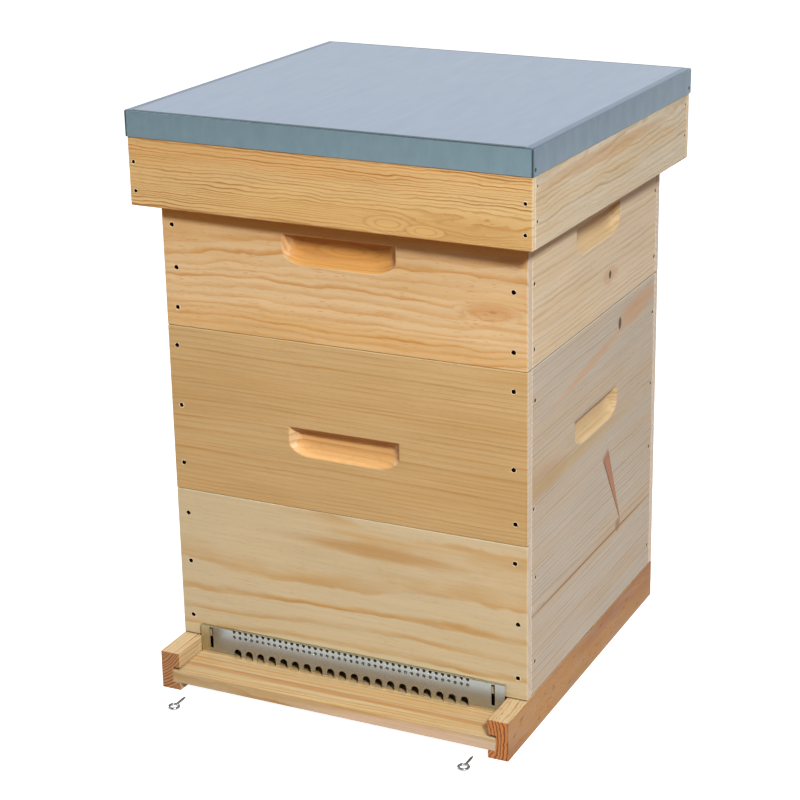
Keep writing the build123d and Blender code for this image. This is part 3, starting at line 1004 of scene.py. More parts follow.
@dataclass
class ScrewEye(SubAssembly):
    """A zinc-plated screw eye: wire bent to a nearly closed ring, a threaded shank and a point."""

    wire_mm: float = 3.2
    wire_sides: int = 10
    outer_mm: float = 14.4
    reach_mm: float = 24.0
    tip_mm: float = 3.0
    tip: float = 0.7
    ring_deg: float = 349.0
    ring_steps: int = 32
    core: float = 0.84
    crest_mm: float = 0.34
    bite: float = 1.05
    thread_mm: float = 1.3
    thread_steps: int = 14
    turns: int = 8

    def build(self) -> None:
        """Bend the ring, draw out the shank and cut the thread."""
        low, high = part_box(self.body)
        centre = Vector(((low.x + high.x) / 2, low.y + self.outer_mm / 2 * MM,
                         self.wire_mm / 2 * MM))
        parts = [self._ring(centre), self._shank(centre), self._thread(centre)]
        eye = join(parts, f"{self.body}_dressed")
        paint(eye, EYE_ZINC)
        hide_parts(self.body)
        self.keep(eye)

    def _ring(self, centre: Vector) -> Piece:
        """Bend the wire round from the shank until it nearly meets it again.

        Args:
            centre: the middle of the ring.

        Returns:
            The ring.
        """
        radius = (self.outer_mm - self.wire_mm) / 2 * MM
        ring = primitive(bpy.ops.mesh.primitive_circle_add, vertices=self.wire_sides,
                         radius=self.wire_mm / 2 * MM, fill_type="NGON",
                         location=centre + Vector((0, radius, 0)), rotation=(0, QUARTER, 0))
        with editing(ring):
            bpy.ops.mesh.spin(steps=self.ring_steps, angle=math.radians(self.ring_deg),
                              center=centre, axis=UP)
            bpy.ops.mesh.select_all(action="SELECT")
            bpy.ops.mesh.remove_doubles(threshold=TINY)
            bpy.ops.mesh.normals_make_consistent(inside=False)
        return ring

    def _shank(self, centre: Vector) -> Piece:
        """Draw the straight shank out to a point.

        Args:
            centre: the middle of the ring.

        Returns:
            The shank, slimmer where the thread goes.
        """
        start = (self.outer_mm - self.wire_mm) / 2 * MM
        crest = self.crest_mm * MM
        threaded = self.turns * self.thread_mm * MM
        length = (self.reach_mm - self.tip_mm) * MM - start - threaded
        shank = primitive(bpy.ops.mesh.primitive_cylinder_add, vertices=self.thread_steps,
                          radius=self.wire_mm / 2 * MM, depth=length, rotation=(QUARTER, 0, 0),
                          location=centre + Vector((0, start + length / 2, 0)))
        steps = ((crest, self.core), (threaded - crest, 1.0), (self.tip_mm * MM, self.tip))
        with editing(shank, lambda spot, normal: normal.y > SQUARELY):
            for reach, slim in steps:
                bpy.ops.mesh.extrude_region_move(TRANSFORM_OT_translate={"value": (0, reach, 0)})
                bpy.ops.transform.resize(value=(slim, 1.0, slim), center_override=centre)
        return shank

    def _thread(self, centre: Vector) -> Piece:
        """Wind the thread round the shank.

        Args:
            centre: the middle of the ring.

        Returns:
            The thread, closed at both ends.
        """
        crest = self.crest_mm * MM
        thread = primitive(bpy.ops.mesh.primitive_circle_add, vertices=3, radius=crest,
                           rotation=(QUARTER, 0, 0),
                           location=(self.wire_mm / 2 * MM - self.bite * crest, 0, 0))
        apply_modifier(thread, "SCREW", axis="Z", angle=math.radians(360), iterations=self.turns,
                       screw_offset=self.thread_mm * MM, steps=self.thread_steps,
                       render_steps=self.thread_steps)
        foot = (self.reach_mm - self.tip_mm - self.turns * self.thread_mm) * MM
        thread.matrix_world = (Matrix.Translation(centre + Vector((0, foot, 0)))
                               @ Matrix.Rotation(-QUARTER, 4, "X"))
        bpy.ops.object.transform_apply(location=True, rotation=True)
        with editing(thread):
            bpy.ops.mesh.fill_holes(sides=0)
            bpy.ops.mesh.normals_make_consistent(inside=False)
        return thread


@dataclass(kw_only=True)
class NailedBox(SubAssembly):
    """A box of nailed boards: the brood box, the super or the frame of the roof."""

    boards: dict[str, Timber]
    outline: Outline
    nails: dict[str, list[NailSpot]]
    holds: dict[str, Face] = field(default_factory=dict)
    ledge_mm: float = 0.0
    hold_mm: Triple = (133.0, 32.0, 12.0)
    hold_slack_mm: float = 1.0
    hold_sill_mm: float = 0.6
    hold_facing: tuple[float, float] = (0.3, 0.55)
    spacers: tuple[str, ...] = ()
    slot: str = "box_pine"
    arris_mm: float = 1.5
    joint_shade: bool = True
    joint_mm: float = 2.0
    joint_facing: tuple[float, float] = (-0.95, -0.3)
    nail: Nails = field(default_factory=Nails)

    def build(self) -> None:
        """Dress the boards and spacers, tint the milled hand-holds and drive the nails."""
        for node, finish in self.boards.items():
            board = self.dress(node, finish)
            if node in self.holds:
                self._tint_hold(board, finish, self.holds[node])
            if self.joint_shade:
                self._shade_joint(board)
        for node in self.spacers:
            self.dress(node, STRIP_ZINC)
        self._nail_boards()

    def _tint_hold(self, board: Piece, finish: Timber, face: Face) -> None:
        """Give the freshly milled faces of a hand-hold their own tint of the same board, on the
        super's front partly painted shade.

        Args:
            board: the dressed board.
            finish: the board's finish.
            face: the side of the hive that it is on.
        """
        early, late, heart, *end = finish.milled
        milled = replace(finish, name=f"{finish.name}_milled", early=early, late=late, heart=heart,
                         end=tuple(end), end_facing=self.hold_facing, marks=finish.ovals)
        board.data.materials.append(milled.material())
        middle = self.outline.half(face) / MM
        to_face = self.outline.on_face(face, middle, self.ledge_mm).inverted()
        width, drop, depth = self.hold_mm
        slack = self.hold_slack_mm
        for polygon in board.data.polygons:
            spot = to_face @ polygon.center / MM
            level = abs(spot.x) < width / 2 + slack and -drop - slack < spot.y < slack
            if level and -depth - slack < spot.z < -self.hold_sill_mm:
                polygon.material_index = 1

    def _shade_joint(self, board: Piece) -> None:
        """Paint shade on the eased lower edges, where a joint lies in shadow.

        Args:
            board: the dressed board.
        """
        board.data.materials.append(JOINT_SHADE.material())
        foot = min(corner[2] for corner in board.bound_box)
        low, high = self.joint_facing
        for polygon in board.data.polygons:
            if low < polygon.normal.z < high and abs(polygon.center.z - foot) < self.joint_mm * MM:
                polygon.material_index = len(board.data.materials) - 1

    def _nail_boards(self) -> None:
        """Punch every nail hole, then set the heads and the torn rims."""
        boards = {piece.name.removesuffix("_dressed"): piece for piece in self.pieces}
        places: list[Matrix] = []
        for node, spots in self.nails.items():
            here = [self.outline.on_face(*spot) for spot in spots]
            self.nail.pierce(boards[node], here)
            places += here
        self.keep(self.nail.heads(places, f"{self.body}_nails"), "spacer_steel")
        self.keep(self.nail.rims(places, f"{self.body}_nail_rims"), self.slot)


@dataclass
class HangingFrames:
    """The frames of one box: planed bars, the side bars with upright grain, strung with wire."""

    prefix: str
    count: int
    wires: int
    arris_mm: float = 0.5
    wire_mm: float = 0.5
    wire_sides: int = 6
    wire_end_mm: float = 1.0
    lug_mm: float = 17.5
    bar_mm: float = 7.5
    top_bar_mm: float = 11.0
    pieces: list[Piece] = field(default_factory=list)

    def build(self) -> None:
        """Dress each frame, give its side bars their own grain and string its wires."""
        for number in range(1, self.count + 1):
            node = f"{self.prefix}_frame_{number}"
            kit = SubAssembly(node, self.arris_mm)
            low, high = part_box(node)
            self._turn_side_bars(kit.dress(node, FRAME_LONG, FRAME_UP), low, high)
            kit.keep(self._string(node, low, high), "spacer_steel")
            kit.smooth()
            self.pieces += kit.pieces

    def _turn_side_bars(self, piece: Piece, low: Vector, high: Vector) -> None:
        """Give the faces of the two side bars the upright finish.

        Args:
            piece: the dressed frame.
            low: its lowest corner.
            high: its highest corner.
        """
        inset = (self.lug_mm + self.bar_mm) * MM
        for polygon in piece.data.polygons:
            spot = polygon.center
            at_end = spot.y < low.y + inset or spot.y > high.y - inset
            polygon.material_index = int(at_end and spot.z < high.z - self.top_bar_mm * MM)

    def _string(self, node: str, low: Vector, high: Vector) -> Piece:
        """Stretch level wires from side bar to side bar.

        Args:
            node: the frame's CAD node.
            low: its lowest corner.
            high: its highest corner.

        Returns:
            The frame's wires as one object.
        """
        span = high.y - low.y - 2 * (self.lug_mm + self.wire_end_mm) * MM
        wire = primitive(bpy.ops.mesh.primitive_cylinder_add, vertices=self.wire_sides,
                         radius=self.wire_mm / 2 * MM, depth=span)
        flat = Matrix.Rotation(QUARTER, 4, "X")
        mid = (low + high) / 2
        step = (high.z - low.z) / (self.wires + 1)
        places = [Matrix.Translation((mid.x, mid.y, low.z + step * n)) @ flat
                  for n in range(1, self.wires + 1)]
        wires = copies_at(wire, places, f"{node}_wires")
        paint(wires, FRAME_WIRE)
        return wires


@dataclass
class InnerCover(SubAssembly):
    """The inner cover: three thin planks under two cleats."""

    body: str = "inner_cover"

    def build(self) -> None:
        """Dress the planks and the cleats."""
        for name in ("left", "middle", "right"):
            self.dress(f"cover_plank_{name}", COVER_WOOD)
        for name in ("front", "back"):
            self.dress(f"cover_cleat_{name}", FLOOR_WOOD)


class CapPart(IntEnum):
    """Which of the roof sheet's finishes a face has: flanges in a painted reflection, painted shade
    and a painted highlight at the folds.
    """

    TOP = 0
    FLANGE = 1
    CREASE = 2
    BEND = 3
    ROLL = 4
    SIDE_FLANGE = 5


@dataclass(kw_only=True)
class Roof(NailedBox):
    """The roof: four nailed boards, bearers, a deck and a folded sheet cap with its own nails."""

    body: str = "roof"
    slot: str = "roof_pine"
    joint_shade: bool = False
    cap_outline: Outline
    cap_nails: list[NailSpot]
    seam_mm: float = 2.0
    roll_mm: float = 9.0
    shade_strip_mm: float = 4.5
    level_facing: float = 0.97
    cap_head_mm: float = 2.3
    cap_rise_mm: float = 0.12

    def build(self) -> None:
        """Dress the wooden roof, then cap it."""
        super().build()
        for name in ("left", "right"):
            self.dress(f"roof_bearer_{name}", COVER_WOOD)
        self.dress("roof_deck", ROOF_INNER)
        self._cap()
        self.keep(self._cap_nails(), "galvanised_sheet")

    def _cap(self) -> None:
        """Dress the folded sheet: dark seams at the corners, painted shade on the rolled sides and
        along the front and back edges, a painted highlight on the bends, painted reflections on the
        flanges.
        """
        cap = self.dress("roof_sheet", ROOF_ZINC, ROOF_FLANGE, SEAM_AND_BEND_SHADE, BEND_SHINE, ROOF_ROLL_SHADE,
                         SIDE_FLANGE)
        outline = self.cap_outline
        to_face = outline.on_face(Face.FRONT, outline.half_width / MM, 0.0).inverted()
        out = outline.half_width - self.seam_mm * MM
        rolled = outline.half_width - self.roll_mm * MM
        turned = Matrix.Rotation(math.radians(outline.turn_deg), 3, "Z")
        shade_edge = -self.shade_strip_mm * MM
        back = -2 * outline.half_depth - shade_edge
        cuts = [((cut, 0.0, 0.0), (1.0, 0.0, 0.0)) for cut in (-out, -rolled, rolled, out)]
        cuts += [((0.0, 0.0, cut), (0.0, 1.0, 0.0)) for cut in (shade_edge, back)]
        score(cap, [(to_face.inverted() @ Vector(spot), turned @ Vector(normal))
                    for spot, normal in cuts])
        for polygon in cap.data.polygons:
            level = abs(polygon.normal.z)
            ahead = abs(polygon.normal.y)
            spot = to_face @ polygon.center
            part = CapPart.TOP
            if level < HARDLY:
                seam = abs(spot.x) > out and ahead > SQUARELY
                flange = CapPart.SIDE_FLANGE if ahead < MOSTLY else CapPart.FLANGE
                part = CapPart.CREASE if seam else flange
            # Painted shade on the rolled sides, a painted highlight on the bends, painted shade in
            # a strip along the front and back edges.
            elif abs(spot.x) > rolled:
                part = CapPart.ROLL
            elif level < self.level_facing:
                part = CapPart.BEND
            elif spot.z > shade_edge or spot.z < back:
                part = CapPart.CREASE
            polygon.material_index = part

    def _cap_nails(self) -> Piece:
        """Set a flat-headed nail at each end of the cap's side flanges.

        Returns:
            The nails as one object.
        """
        head = primitive(bpy.ops.mesh.primitive_uv_sphere_add, segments=14, ring_count=8,
                         radius=self.cap_head_mm * MM)
        with editing(head):
            bpy.ops.mesh.bisect(plane_co=(0, 0, 0), plane_no=UP, clear_inner=True, use_fill=True)
            bpy.ops.mesh.select_all(action="SELECT")
            bpy.ops.transform.resize(value=(1.0, 1.0, self.cap_rise_mm / self.cap_head_mm),
                                     center_override=(0, 0, 0))
        places = [self.cap_outline.on_face(*spot) for spot in self.cap_nails]
        nails = copies_at(head, places, "roof_cap_nails")
        paint(nails, CAP_NAIL)
        return nails


@dataclass(frozen=True)
class Softbox:
    """A square softbox that faces the middle of the hive, in metres and watts."""

    name: str
    place: Triple
    size: float
    watts: float
    aim: Triple = (0.0, 0.0, 0.33)

    def hang(self) -> None:
        """Hang the softbox in the studio."""
        lamp = bpy.data.lights.new(self.name, "AREA")
        lamp.size = self.size
        lamp.energy = self.watts
        box = bpy.data.objects.new(self.name, lamp)
        box.location = self.place
        way = Vector(self.aim) - Vector(self.place)
        box.rotation_euler = way.to_track_quat("-Z", "Y").to_euler()
        bpy.context.scene.collection.objects.link(box)


@dataclass
class Studio:
    """Pale floor, soft white light and the camera that took the photograph."""

    camera_mm: Triple = (978.55, -2025.05, 1113.58)
    yaw: float = -0.44518
    pitch: float = 0.33021
    roll: float = -0.01579
    focal_px: float = 2079.88
    centre_px: tuple[float, float] = (419.33, 370.18)
    frame_px: float = 800.0
    sensor_mm: float = 36.0
    front_air: float = 0.25
    back_air: float = 1.0
    air_share: float = 0.42
    floor_m: float = 40.0
    floor_glow: float = 0.95
    floor_share: float = 0.15
    wedge_start: float = 2.25
    wedge: tuple[float, float] = (0.66, 0.28)
    wedge_foot: tuple[float, float] = (-0.9, -0.5)
    far_white: float = 0.78
    paper: str = "#BEBEBE"
    bounce: str = "#8A5A26"
    # The last two stand low, off the roof's mirror line, for the sides that the camera doesn't see.
    softboxes: tuple[Softbox, ...] = (
        Softbox("key_softbox", (1.95, -2.2, 2.5), 0.5, 149.0),
        Softbox("top_softbox", (0.4, -1.1, 2.9), 1.2, 26.0),
        Softbox("fill_softbox", (-2.2, -1.6, 1.8), 1.6, 10.0),
        Softbox("side_softbox", (-2.6, 0.3, 0.7), 1.4, 34.0),
        Softbox("back_softbox", (0.1, 2.9, 0.5), 1.2, 12.0))

    def build(self) -> None:
        """Set up the floor, the light and the camera."""
        self._floor()
        self._air()
        for softbox in self.softboxes:
            softbox.hang()
        self._camera()

    def _as_seen(self, tree: Tree, glow: Socket, share: float) -> Socket:
        """Let a glow light the wood by a share only, and look white to the camera all the same.

        Args:
            tree: the floor's or the air's node tree.
            glow: what it gives off.
            share: how much of it falls on the wood.

        Returns:
            The glow for every kind of ray.
        """
        soft = add_node(tree, "LightPath", {}, "Is Diffuse Ray")
        part = add_node(tree, "Math", {0: soft, 1: share - 1, 2: 1.0}, operation="MULTIPLY_ADD")
        dim = add_node(tree, "Math", {0: glow, 1: part}, operation="MULTIPLY")
        camera = soft.node.outputs["Is Camera Ray"]
        seen = add_node(tree, "Math", {0: camera, 1: self.far_white}, operation="MULTIPLY")
        return add_node(tree, "Math", {0: dim, 1: seen}, operation="MAXIMUM")

    def _floor(self) -> None:
        """Lay a wide pale floor, lit to white under the hive and behind it."""
        floor = primitive(bpy.ops.mesh.primitive_plane_add, size=self.floor_m)
        floor.name = "studio_floor"
        material = bpy.data.materials.new("pale_studio_paper")
        material.use_nodes = True
        tree = material.node_tree
        place = add_node(tree, "TexCoord", {}, "Object")
        turned = add_node(tree, "Mapping", {"Vector": place, "Rotation": (0.0, 0.0, -self.yaw)},
                          vector_type="TEXTURE")
        aside, ahead, _ = add_node(tree, "SeparateXYZ", {0: turned}).node.outputs
        sideways = add_node(tree, "Math", {0: aside}, operation="ABSOLUTE")
        reach = add_node(tree, "Math", {0: ahead, 1: self.wedge_start}, operation="ADD")
        slope = add_node(tree, "Math", {0: sideways, 1: reach}, operation="DIVIDE")
        edges = ((slope, self.wedge, self.floor_glow), (ahead, self.wedge_foot, 1.0))
        strip, behind = (add_node(tree, "MapRange", {
            "Value": value, "From Min": none, "From Max": full, "To Max": most},
            interpolation_type="SMOOTHSTEP") for value, (none, full), most in edges)
        glow = add_node(tree, "Math", {0: strip, 1: behind}, operation="MULTIPLY")
        # The paper is cut out white in the photo; what it throws back on the wood is dim and warm.
        soft = add_node(tree, "LightPath", {}, "Is Diffuse Ray")
        tone = add_node(tree, "Mix", {0: soft, 6: linear(self.paper), 7: linear(self.bounce)},
                        data_type="RGBA")
        feed(tree.nodes["Principled BSDF"], {
            "Base Color": tone, "Roughness": 0.9, "Specular IOR Level": 0.0,
            "Emission Color": WHITE,
            "Emission Strength": self._as_seen(tree, glow, self.floor_share)})
        floor.data.materials.append(material)

    def _air(self) -> None:
        """Fill the studio with soft light: a bright back and a dim camera side."""
        scene = bpy.context.scene
        scene.view_settings.view_transform = "Standard"
        scene.world = bpy.data.worlds.new("studio_air")
        scene.world.use_nodes = True
        tree = scene.world.node_tree
        way = add_node(tree, "TexCoord", {}, "Generated")
        ahead = add_node(tree, "VectorMath", {
            0: way, 1: (math.sin(self.yaw), math.cos(self.yaw), 0.0)}, operation="DOT_PRODUCT")
        level = add_node(tree, "MapRange", {
            "Value": ahead, "From Min": 0.0, "From Max": 0.75, "To Min": self.front_air,
            "To Max": self.back_air}, interpolation_type="SMOOTHSTEP")
        feed(tree.nodes["Background"], {
            "Color": WHITE, "Strength": self._as_seen(tree, level, self.air_share)})

    def _camera(self) -> None:
        """Stand the camera where the photograph was taken."""
        lens = bpy.data.cameras.new("photo_camera")
        lens.sensor_fit = "HORIZONTAL"
        lens.sensor_width = self.sensor_mm
        lens.lens = self.focal_px / self.frame_px * self.sensor_mm
        lens.shift_x = (self.frame_px / 2 - self.centre_px[0]) / self.frame_px
        lens.shift_y = (self.centre_px[1] - self.frame_px / 2) / self.frame_px
        lens.clip_end = 100.0
        ahead = Vector((math.sin(self.yaw) * math.cos(self.pitch),
                        math.cos(self.yaw) * math.cos(self.pitch), -math.sin(self.pitch)))
        right = Vector((math.cos(self.yaw), -math.sin(self.yaw), 0.0))
        level = Matrix((right, right.cross(ahead), -ahead)).transposed()
        tilt = Matrix.Rotation(self.roll, 3, "Z")
        camera = bpy.data.objects.new("photo_camera", lens)
        camera.matrix_world = (Matrix.Translation([v * MM for v in self.camera_mm])
                               @ (level @ tilt).to_4x4())
        bpy.context.scene.collection.objects.link(camera)
        bpy.context.scene.camera = camera


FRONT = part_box("brood_front_lower")[0].y / MM
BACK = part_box("brood_back_lower")[1].y / MM
MID = (FRONT + BACK) / 2
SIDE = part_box("brood_side_right")[1].x / MM
ROOF_FACE = FRONT - 22
LANDING_TOP = 27.5
HIVE_W, HIVE_D = 430, 404
ROOF_W, ROOF_D = 474, 448
CAP_OUT = 1  # the roof sheet stands this far outside the boards
ROOF_SKEW = 5.6 / 215.0  # the roof's corner lies 5.6 mm off over half the hive's width

MILLED_BROOD = ("#D0A46A", "#B07C40", "#C69658", "#D2B284", "#C0986A")
MILLED_SIDE = ("#CCB48C", "#B49262", "#C2A678", "#BFA67E", "#AA9068")
END_FRONT = ("#CBC0AE", "#BEB19D")
END_SIDE = ("#D6CDBE", "#C6BAA8")
END_ROOF = ("#D6CAB4", "#C4B498")

SUPER_FRONT = Timber(
    "pine_super_front", "#CFB388", "#BC8743", "#C7A167", END_FRONT, Grain.ACROSS,
    (0, FRONT + 250, 605), (0.5, 0.6), ring_mm=4.5, phase=0.2, line_start=0.35, contrast=1.25,
    wander_mm=1.5, figure_mm=0.7, ripple_mm=0.2, heart_share=0.35, flecks=0.6, marks=(
        # The first mark is painted shade: a warm orange band at the top of the board, where the
        # roof's edge casts its shadow.
        Mark(Face.FRONT, (0, FRONT, 557), 700, 32, "#CE9634", strength=0.65, edge=1.0, ragged=0.1),
        Mark(Face.FRONT, (173, FRONT, 481), 60, 17, "#B87A3C", strength=0.45, edge=1.0,
             bend_mm=9.0),
        Mark(Face.FRONT, (176, FRONT, 481), 9, 3, "#8A4F24", strength=0.35)), ovals=(
        Mark(Face.FRONT, (0, FRONT, 508), 300, 12, "#CC9A54", strength=0.6, edge=1.2, ragged=0.1),
        *grazed_rings(Face.FRONT, (6, FRONT, 525), (80, 16), "#B07A34", "#CF9850")))
BROOD_FRONT_UPPER = Timber(
    "pine_brood_front_upper", "#BCA071", "#A98145", "#B49058", END_FRONT, Grain.ACROSS,
    (0, FRONT + 45, 60), (0.4, 0.3), ring_mm=5.4, contrast=1.0, wander_mm=1.5, figure_mm=0.3,
    ripple_mm=0.1, milled=MILLED_BROOD)
# The dark bar is painted shade and the pale bar painted light, on the wall behind the two rows of
# vents in the guard.
BROOD_FRONT_LOWER = Timber(
    "pine_brood_front_lower", "#C3B492", "#B38A4A", "#BFA879", END_FRONT, Grain.ACROSS,
    (0, FRONT + 150, 188), (0.6, 0.9), ring_mm=13.0, phase=0.9, line_start=0.55, contrast=1.1,
    wander_mm=1.8, figure_mm=0.6, ripple_mm=0.2, heart_share=0.12, marks=(
        Mark(Face.FRONT, (40, FRONT, 190), 190, 15, "#AC7A30", -1.5, strength=0.6, edge=1.0),
        # Painted shade behind the upper row of vents, then painted light behind the lower row.
        Mark(Face.FRONT, (0, FRONT, 59.4), 320, 5.6, "#2C1C0E", strength=0.85, edge=0.3,
             ragged=0.05, straight=True),
        Mark(Face.FRONT, (0, FRONT, 53.4), 320, 5.6, "#F4EEE4", strength=0.95, edge=0.3,
             ragged=0.05, straight=True)))
# Paler and greyer than the front: partly the board's own tone, partly a painted sheen of the light
# grazing the hive's right side.
SUPER_SIDE = Timber(
    "pine_super_side", "#D2C4AA", "#AF9168", "#CDB58D", END_SIDE, Grain.DEEP,
    (SIDE - 90, MID, 620), (0.5, 0.6), ring_mm=6.0, contrast=0.9, wander_mm=1.5, milled=MILLED_SIDE,
    marks=(
        Mark(Face.RIGHT, (SIDE, FRONT + 239, 461), 46, 16, "#B5773F", strength=0.4, edge=1.0,
             bend_mm=10.0),
        Mark(Face.RIGHT, (SIDE, FRONT + 239, 461), 7.5, 9, "#2E1A10", strength=0.95)))
# Paler and greyer than the front: partly the board's own tone, partly a painted sheen of the light
# grazing the hive's right side.
BROOD_SIDE = Timber(
    "pine_brood_side", "#BAB2A3", "#957D5C", "#BEA57F", END_SIDE, Grain.DEEP,
    (SIDE - 20, MID, 141), (0.1, 0.1), ring_mm=4.6, contrast=0.82, wander_mm=1.0, figure_mm=0.3,
    staves_mm=(268.0,), milled=MILLED_SIDE, marks=(
        Mark(Face.RIGHT, (SIDE, MID, 141), 420, 8, "#B08A50", strength=0.4, edge=1.0),
        Mark(Face.RIGHT, (SIDE, MID, 141), 420, 1.9, "#5A3818", strength=0.85, edge=0.6),
        Mark(Face.RIGHT, (SIDE, FRONT + 258, 200), 108, 10.5, "#5E3A1E", -62.5, 0.9, 0.25, 0.1,
             taper=0.78, straight=True),
        Mark(Face.RIGHT, (SIDE, FRONT + 259, 200), 104, 7.4, "#B0714A", -62.5, 0.85, 0.3, 0.1,
             taper=0.78, straight=True),
        Mark(Face.RIGHT, (SIDE, FRONT + 277, 145), 15, 15, "#86602E", strength=0.7, edge=0.7,
             bend_mm=4.0),
        Mark(Face.RIGHT, (SIDE, FRONT + 330, 398), 120, 26, "#C08A4C", 4.0, strength=0.5, edge=1.0),
        Mark(Face.RIGHT, (SIDE, FRONT + 185, 374), 190, 10, "#C4935E", 7.0, strength=0.5, edge=1.0),
        Mark(Face.RIGHT, (SIDE, FRONT + 274, 394), 9, 14, "#2E1A10", strength=0.95, bend_mm=6.0),
        Mark(Face.RIGHT, (SIDE, FRONT + 30, 286), 150, 34, "#AC8856", strength=0.45, edge=0.7),
        Mark(Face.RIGHT, (SIDE, FRONT + 130, 282), 280, 15, "#B0985E", strength=0.45, edge=1.2)))
LEFT_SIDE = Timber(
    "pine_left_side", "#CDBA9E", "#AC8A60", "#C9A373", END_SIDE, Grain.DEEP,
    (60 - SIDE, MID, 300), (0.6, 0.7), ring_mm=6.0, contrast=0.6, staves_mm=(245.0,),
    milled=MILLED_SIDE, marks=(
        Mark(Face.LEFT, (-SIDE, MID + 80, 180), 46, 18, "#B58A5C", strength=0.5, edge=1.0,
             bend_mm=10.0),
        Mark(Face.LEFT, (-SIDE, MID + 80, 180), 12, 8, "#5A3820", strength=0.9)))
BACK_WOOD = Timber(
    "pine_back", "#D5B88E", "#B07C3E", "#CFA56E", END_SIDE, Grain.ACROSS,
    (0, BACK - 95, 250), (0.5, 0.6), ring_mm=7.0, marks=(
        Mark(Face.BACK, (-90, BACK, 130), 50, 20, "#C08A50", strength=0.5, edge=1.0, bend_mm=10.0),
        Mark(Face.BACK, (-90, BACK, 130), 13, 9, "#6A4022", strength=0.9)))
ROOF_FRONT = Timber(
    "pine_roof_front", "#CBB17D", "#9D682E", "#C19454", END_ROOF, Grain.ACROSS,
    (0, FRONT - 10, 300), (0.3, 0.3), ring_mm=3.2, contrast=1.7, wander_mm=1.5, figure_mm=1.0,
    ripple_mm=0.35, marks=(
        Mark(Face.FRONT, (-20, ROOF_FACE, 633), 560, 56, "#BE8038", strength=0.3, edge=1.4),
        Mark(Face.FRONT, (60, ROOF_FACE, 573), 440, 40, "#C69E60", strength=0.6, edge=1.4),
        Mark(Face.FRONT, (172, ROOF_FACE, 567), 150, 30, "#A87838", strength=0.3, edge=1.8,
             bend_mm=15.0),
        *grazed_rings(Face.FRONT, (70, ROOF_FACE, 570), (58, 17), "#AE7E3E", "#D2B074"),
        *grazed_rings(Face.FRONT, (113, ROOF_FACE, 566), (50, 14), "#AE7E3E", "#D2B074")))
# Paler and greyer than the roof's front: partly the board's own tone, partly a painted sheen of the
# light grazing the right side; the left board takes the same colours.
ROOF_SIDE = Timber(
    "pine_roof_side", "#CBC3AE", "#A08150", "#C8AD7F", END_ROOF, Grain.DEEP,
    (SIDE - 13, MID, 640), (0.4, 0.8), ring_mm=4.2, contrast=0.8, wander_mm=2.0, figure_mm=1.0,
    heart_share=0.35, marks=(
        Mark(Face.RIGHT, (SIDE, FRONT + 150, 619), 350, 14, "#B4854A", strength=0.42, edge=0.8,
             ragged=0.9),))
ROOF_LEFT = replace(ROOF_SIDE, name="pine_roof_side_left", pith_mm=(-SIDE - 150, MID, 480))
ROOF_INNER = Timber(
    "spruce_roof_deck", "#D8C09A", "#B58F60", "#CFAE7E", END_ROOF, Grain.ACROSS,
    (0, MID, 300), (0.5, 1.0), ring_mm=4.0)
RAIL_LEFT = Timber(
    "larch_rail_left", "#C3AB82", "#90612E", "#B89667", ("#AC7A4C", "#5A3016"), Grain.DEEP,
    (-SIDE - 40, MID, 90), (0.3, 0.4), ring_mm=3.2, contrast=1.1, wander_mm=0.8)
# Fifteen short dark flecks are strewn along the right rail's side.
RAIL_RIGHT = Timber(
    "larch_rail_right", "#B08248", "#84511E", "#945A26", ("#BC7A40", "#582A0C"), Grain.DEEP,
    (SIDE - 70, MID, 22), (0.4, 0.5), ring_mm=4.0, contrast=1.0, wander_mm=1.0, figure_mm=1.0,
    ripple_mm=0.4, heart_share=0.45, flecks=1.0, marks=tuple(
        Mark(Face.RIGHT, (SIDE, FRONT - 36 + 30 * n + 11 * math.sin(4.1 * n),
                          23 + 14 * math.sin(2.3 * n)),
             9 + 4 * math.sin(1.7 * n), 2.2, "#5A3010", strength=0.6, edge=1.0) for n in range(15)))
RAIL_TOP = replace(RAIL_RIGHT, name="larch_rail_right_top", early=RAIL_LEFT.early,
                   late=RAIL_LEFT.late, heart=RAIL_LEFT.heart)
# The long marks run along the board: two golden lines, a painted shadow behind the arches, a pale
# front.
LANDING = Timber(
    "pine_landing_board", "#B9A47F", "#A0752E", "#B69052", ("#CDB284", "#A88453"), Grain.ACROSS,
    (0, FRONT + 130, -30), (0.3, 0.4), ring_mm=5.6, line_start=0.42, contrast=1.2, wander_mm=1.2,
    marks=(
        Mark(Face.RIGHT, (0, FRONT - 34, LANDING_TOP), 7, 7, "#A87030", strength=0.6, edge=0.9,
             ragged=0.15),
        Mark(Face.RIGHT, (0, FRONT - 20, LANDING_TOP), 10, 7, "#BE8A48", strength=0.4, edge=1.2,
             ragged=0.15),
        # Painted shadow on the board inside the hive, behind the guard's arches.
        Mark(Face.RIGHT, (0, FRONT + 21, LANDING_TOP), 38, 9, "#5E4124", strength=0.6, edge=0.9,
             ragged=0.1),
        Mark(Face.FRONT, (120, FRONT, 12), 300, 18, "#DCC6B4", strength=0.55, edge=0.9)))
FLOOR_WOOD = Timber(
    "pine_floor_planks", "#D8BC92", "#B98F5A", "#CFA670", ("#CDB48C", "#A88658"), Grain.ACROSS,
    (0, MID, -120), (0.5, 0.5), ring_mm=4.2)
COVER_WOOD = Timber(
    "spruce_inner_cover", "#DCC59E", "#BD9A68", "#D3B07C", ("#D3BE98", "#AE9062"), Grain.DEEP,
    (0, MID, 480), (0.5, 0.6), ring_mm=4.4)
FRAME_LONG = Timber(
    "lime_frame_bars", "#E0CBA4", "#C8A878", "#D8BC8C", ("#D8C29C", "#B89C70"), Grain.DEEP,
    (0, MID, 900), (0.3, 0.4), ring_mm=4.0, contrast=0.5)
FRAME_UP = replace(FRAME_LONG, name="lime_frame_side_bars", grain=Grain.UP,
                   pith_mm=(30, MID + 400, 300))
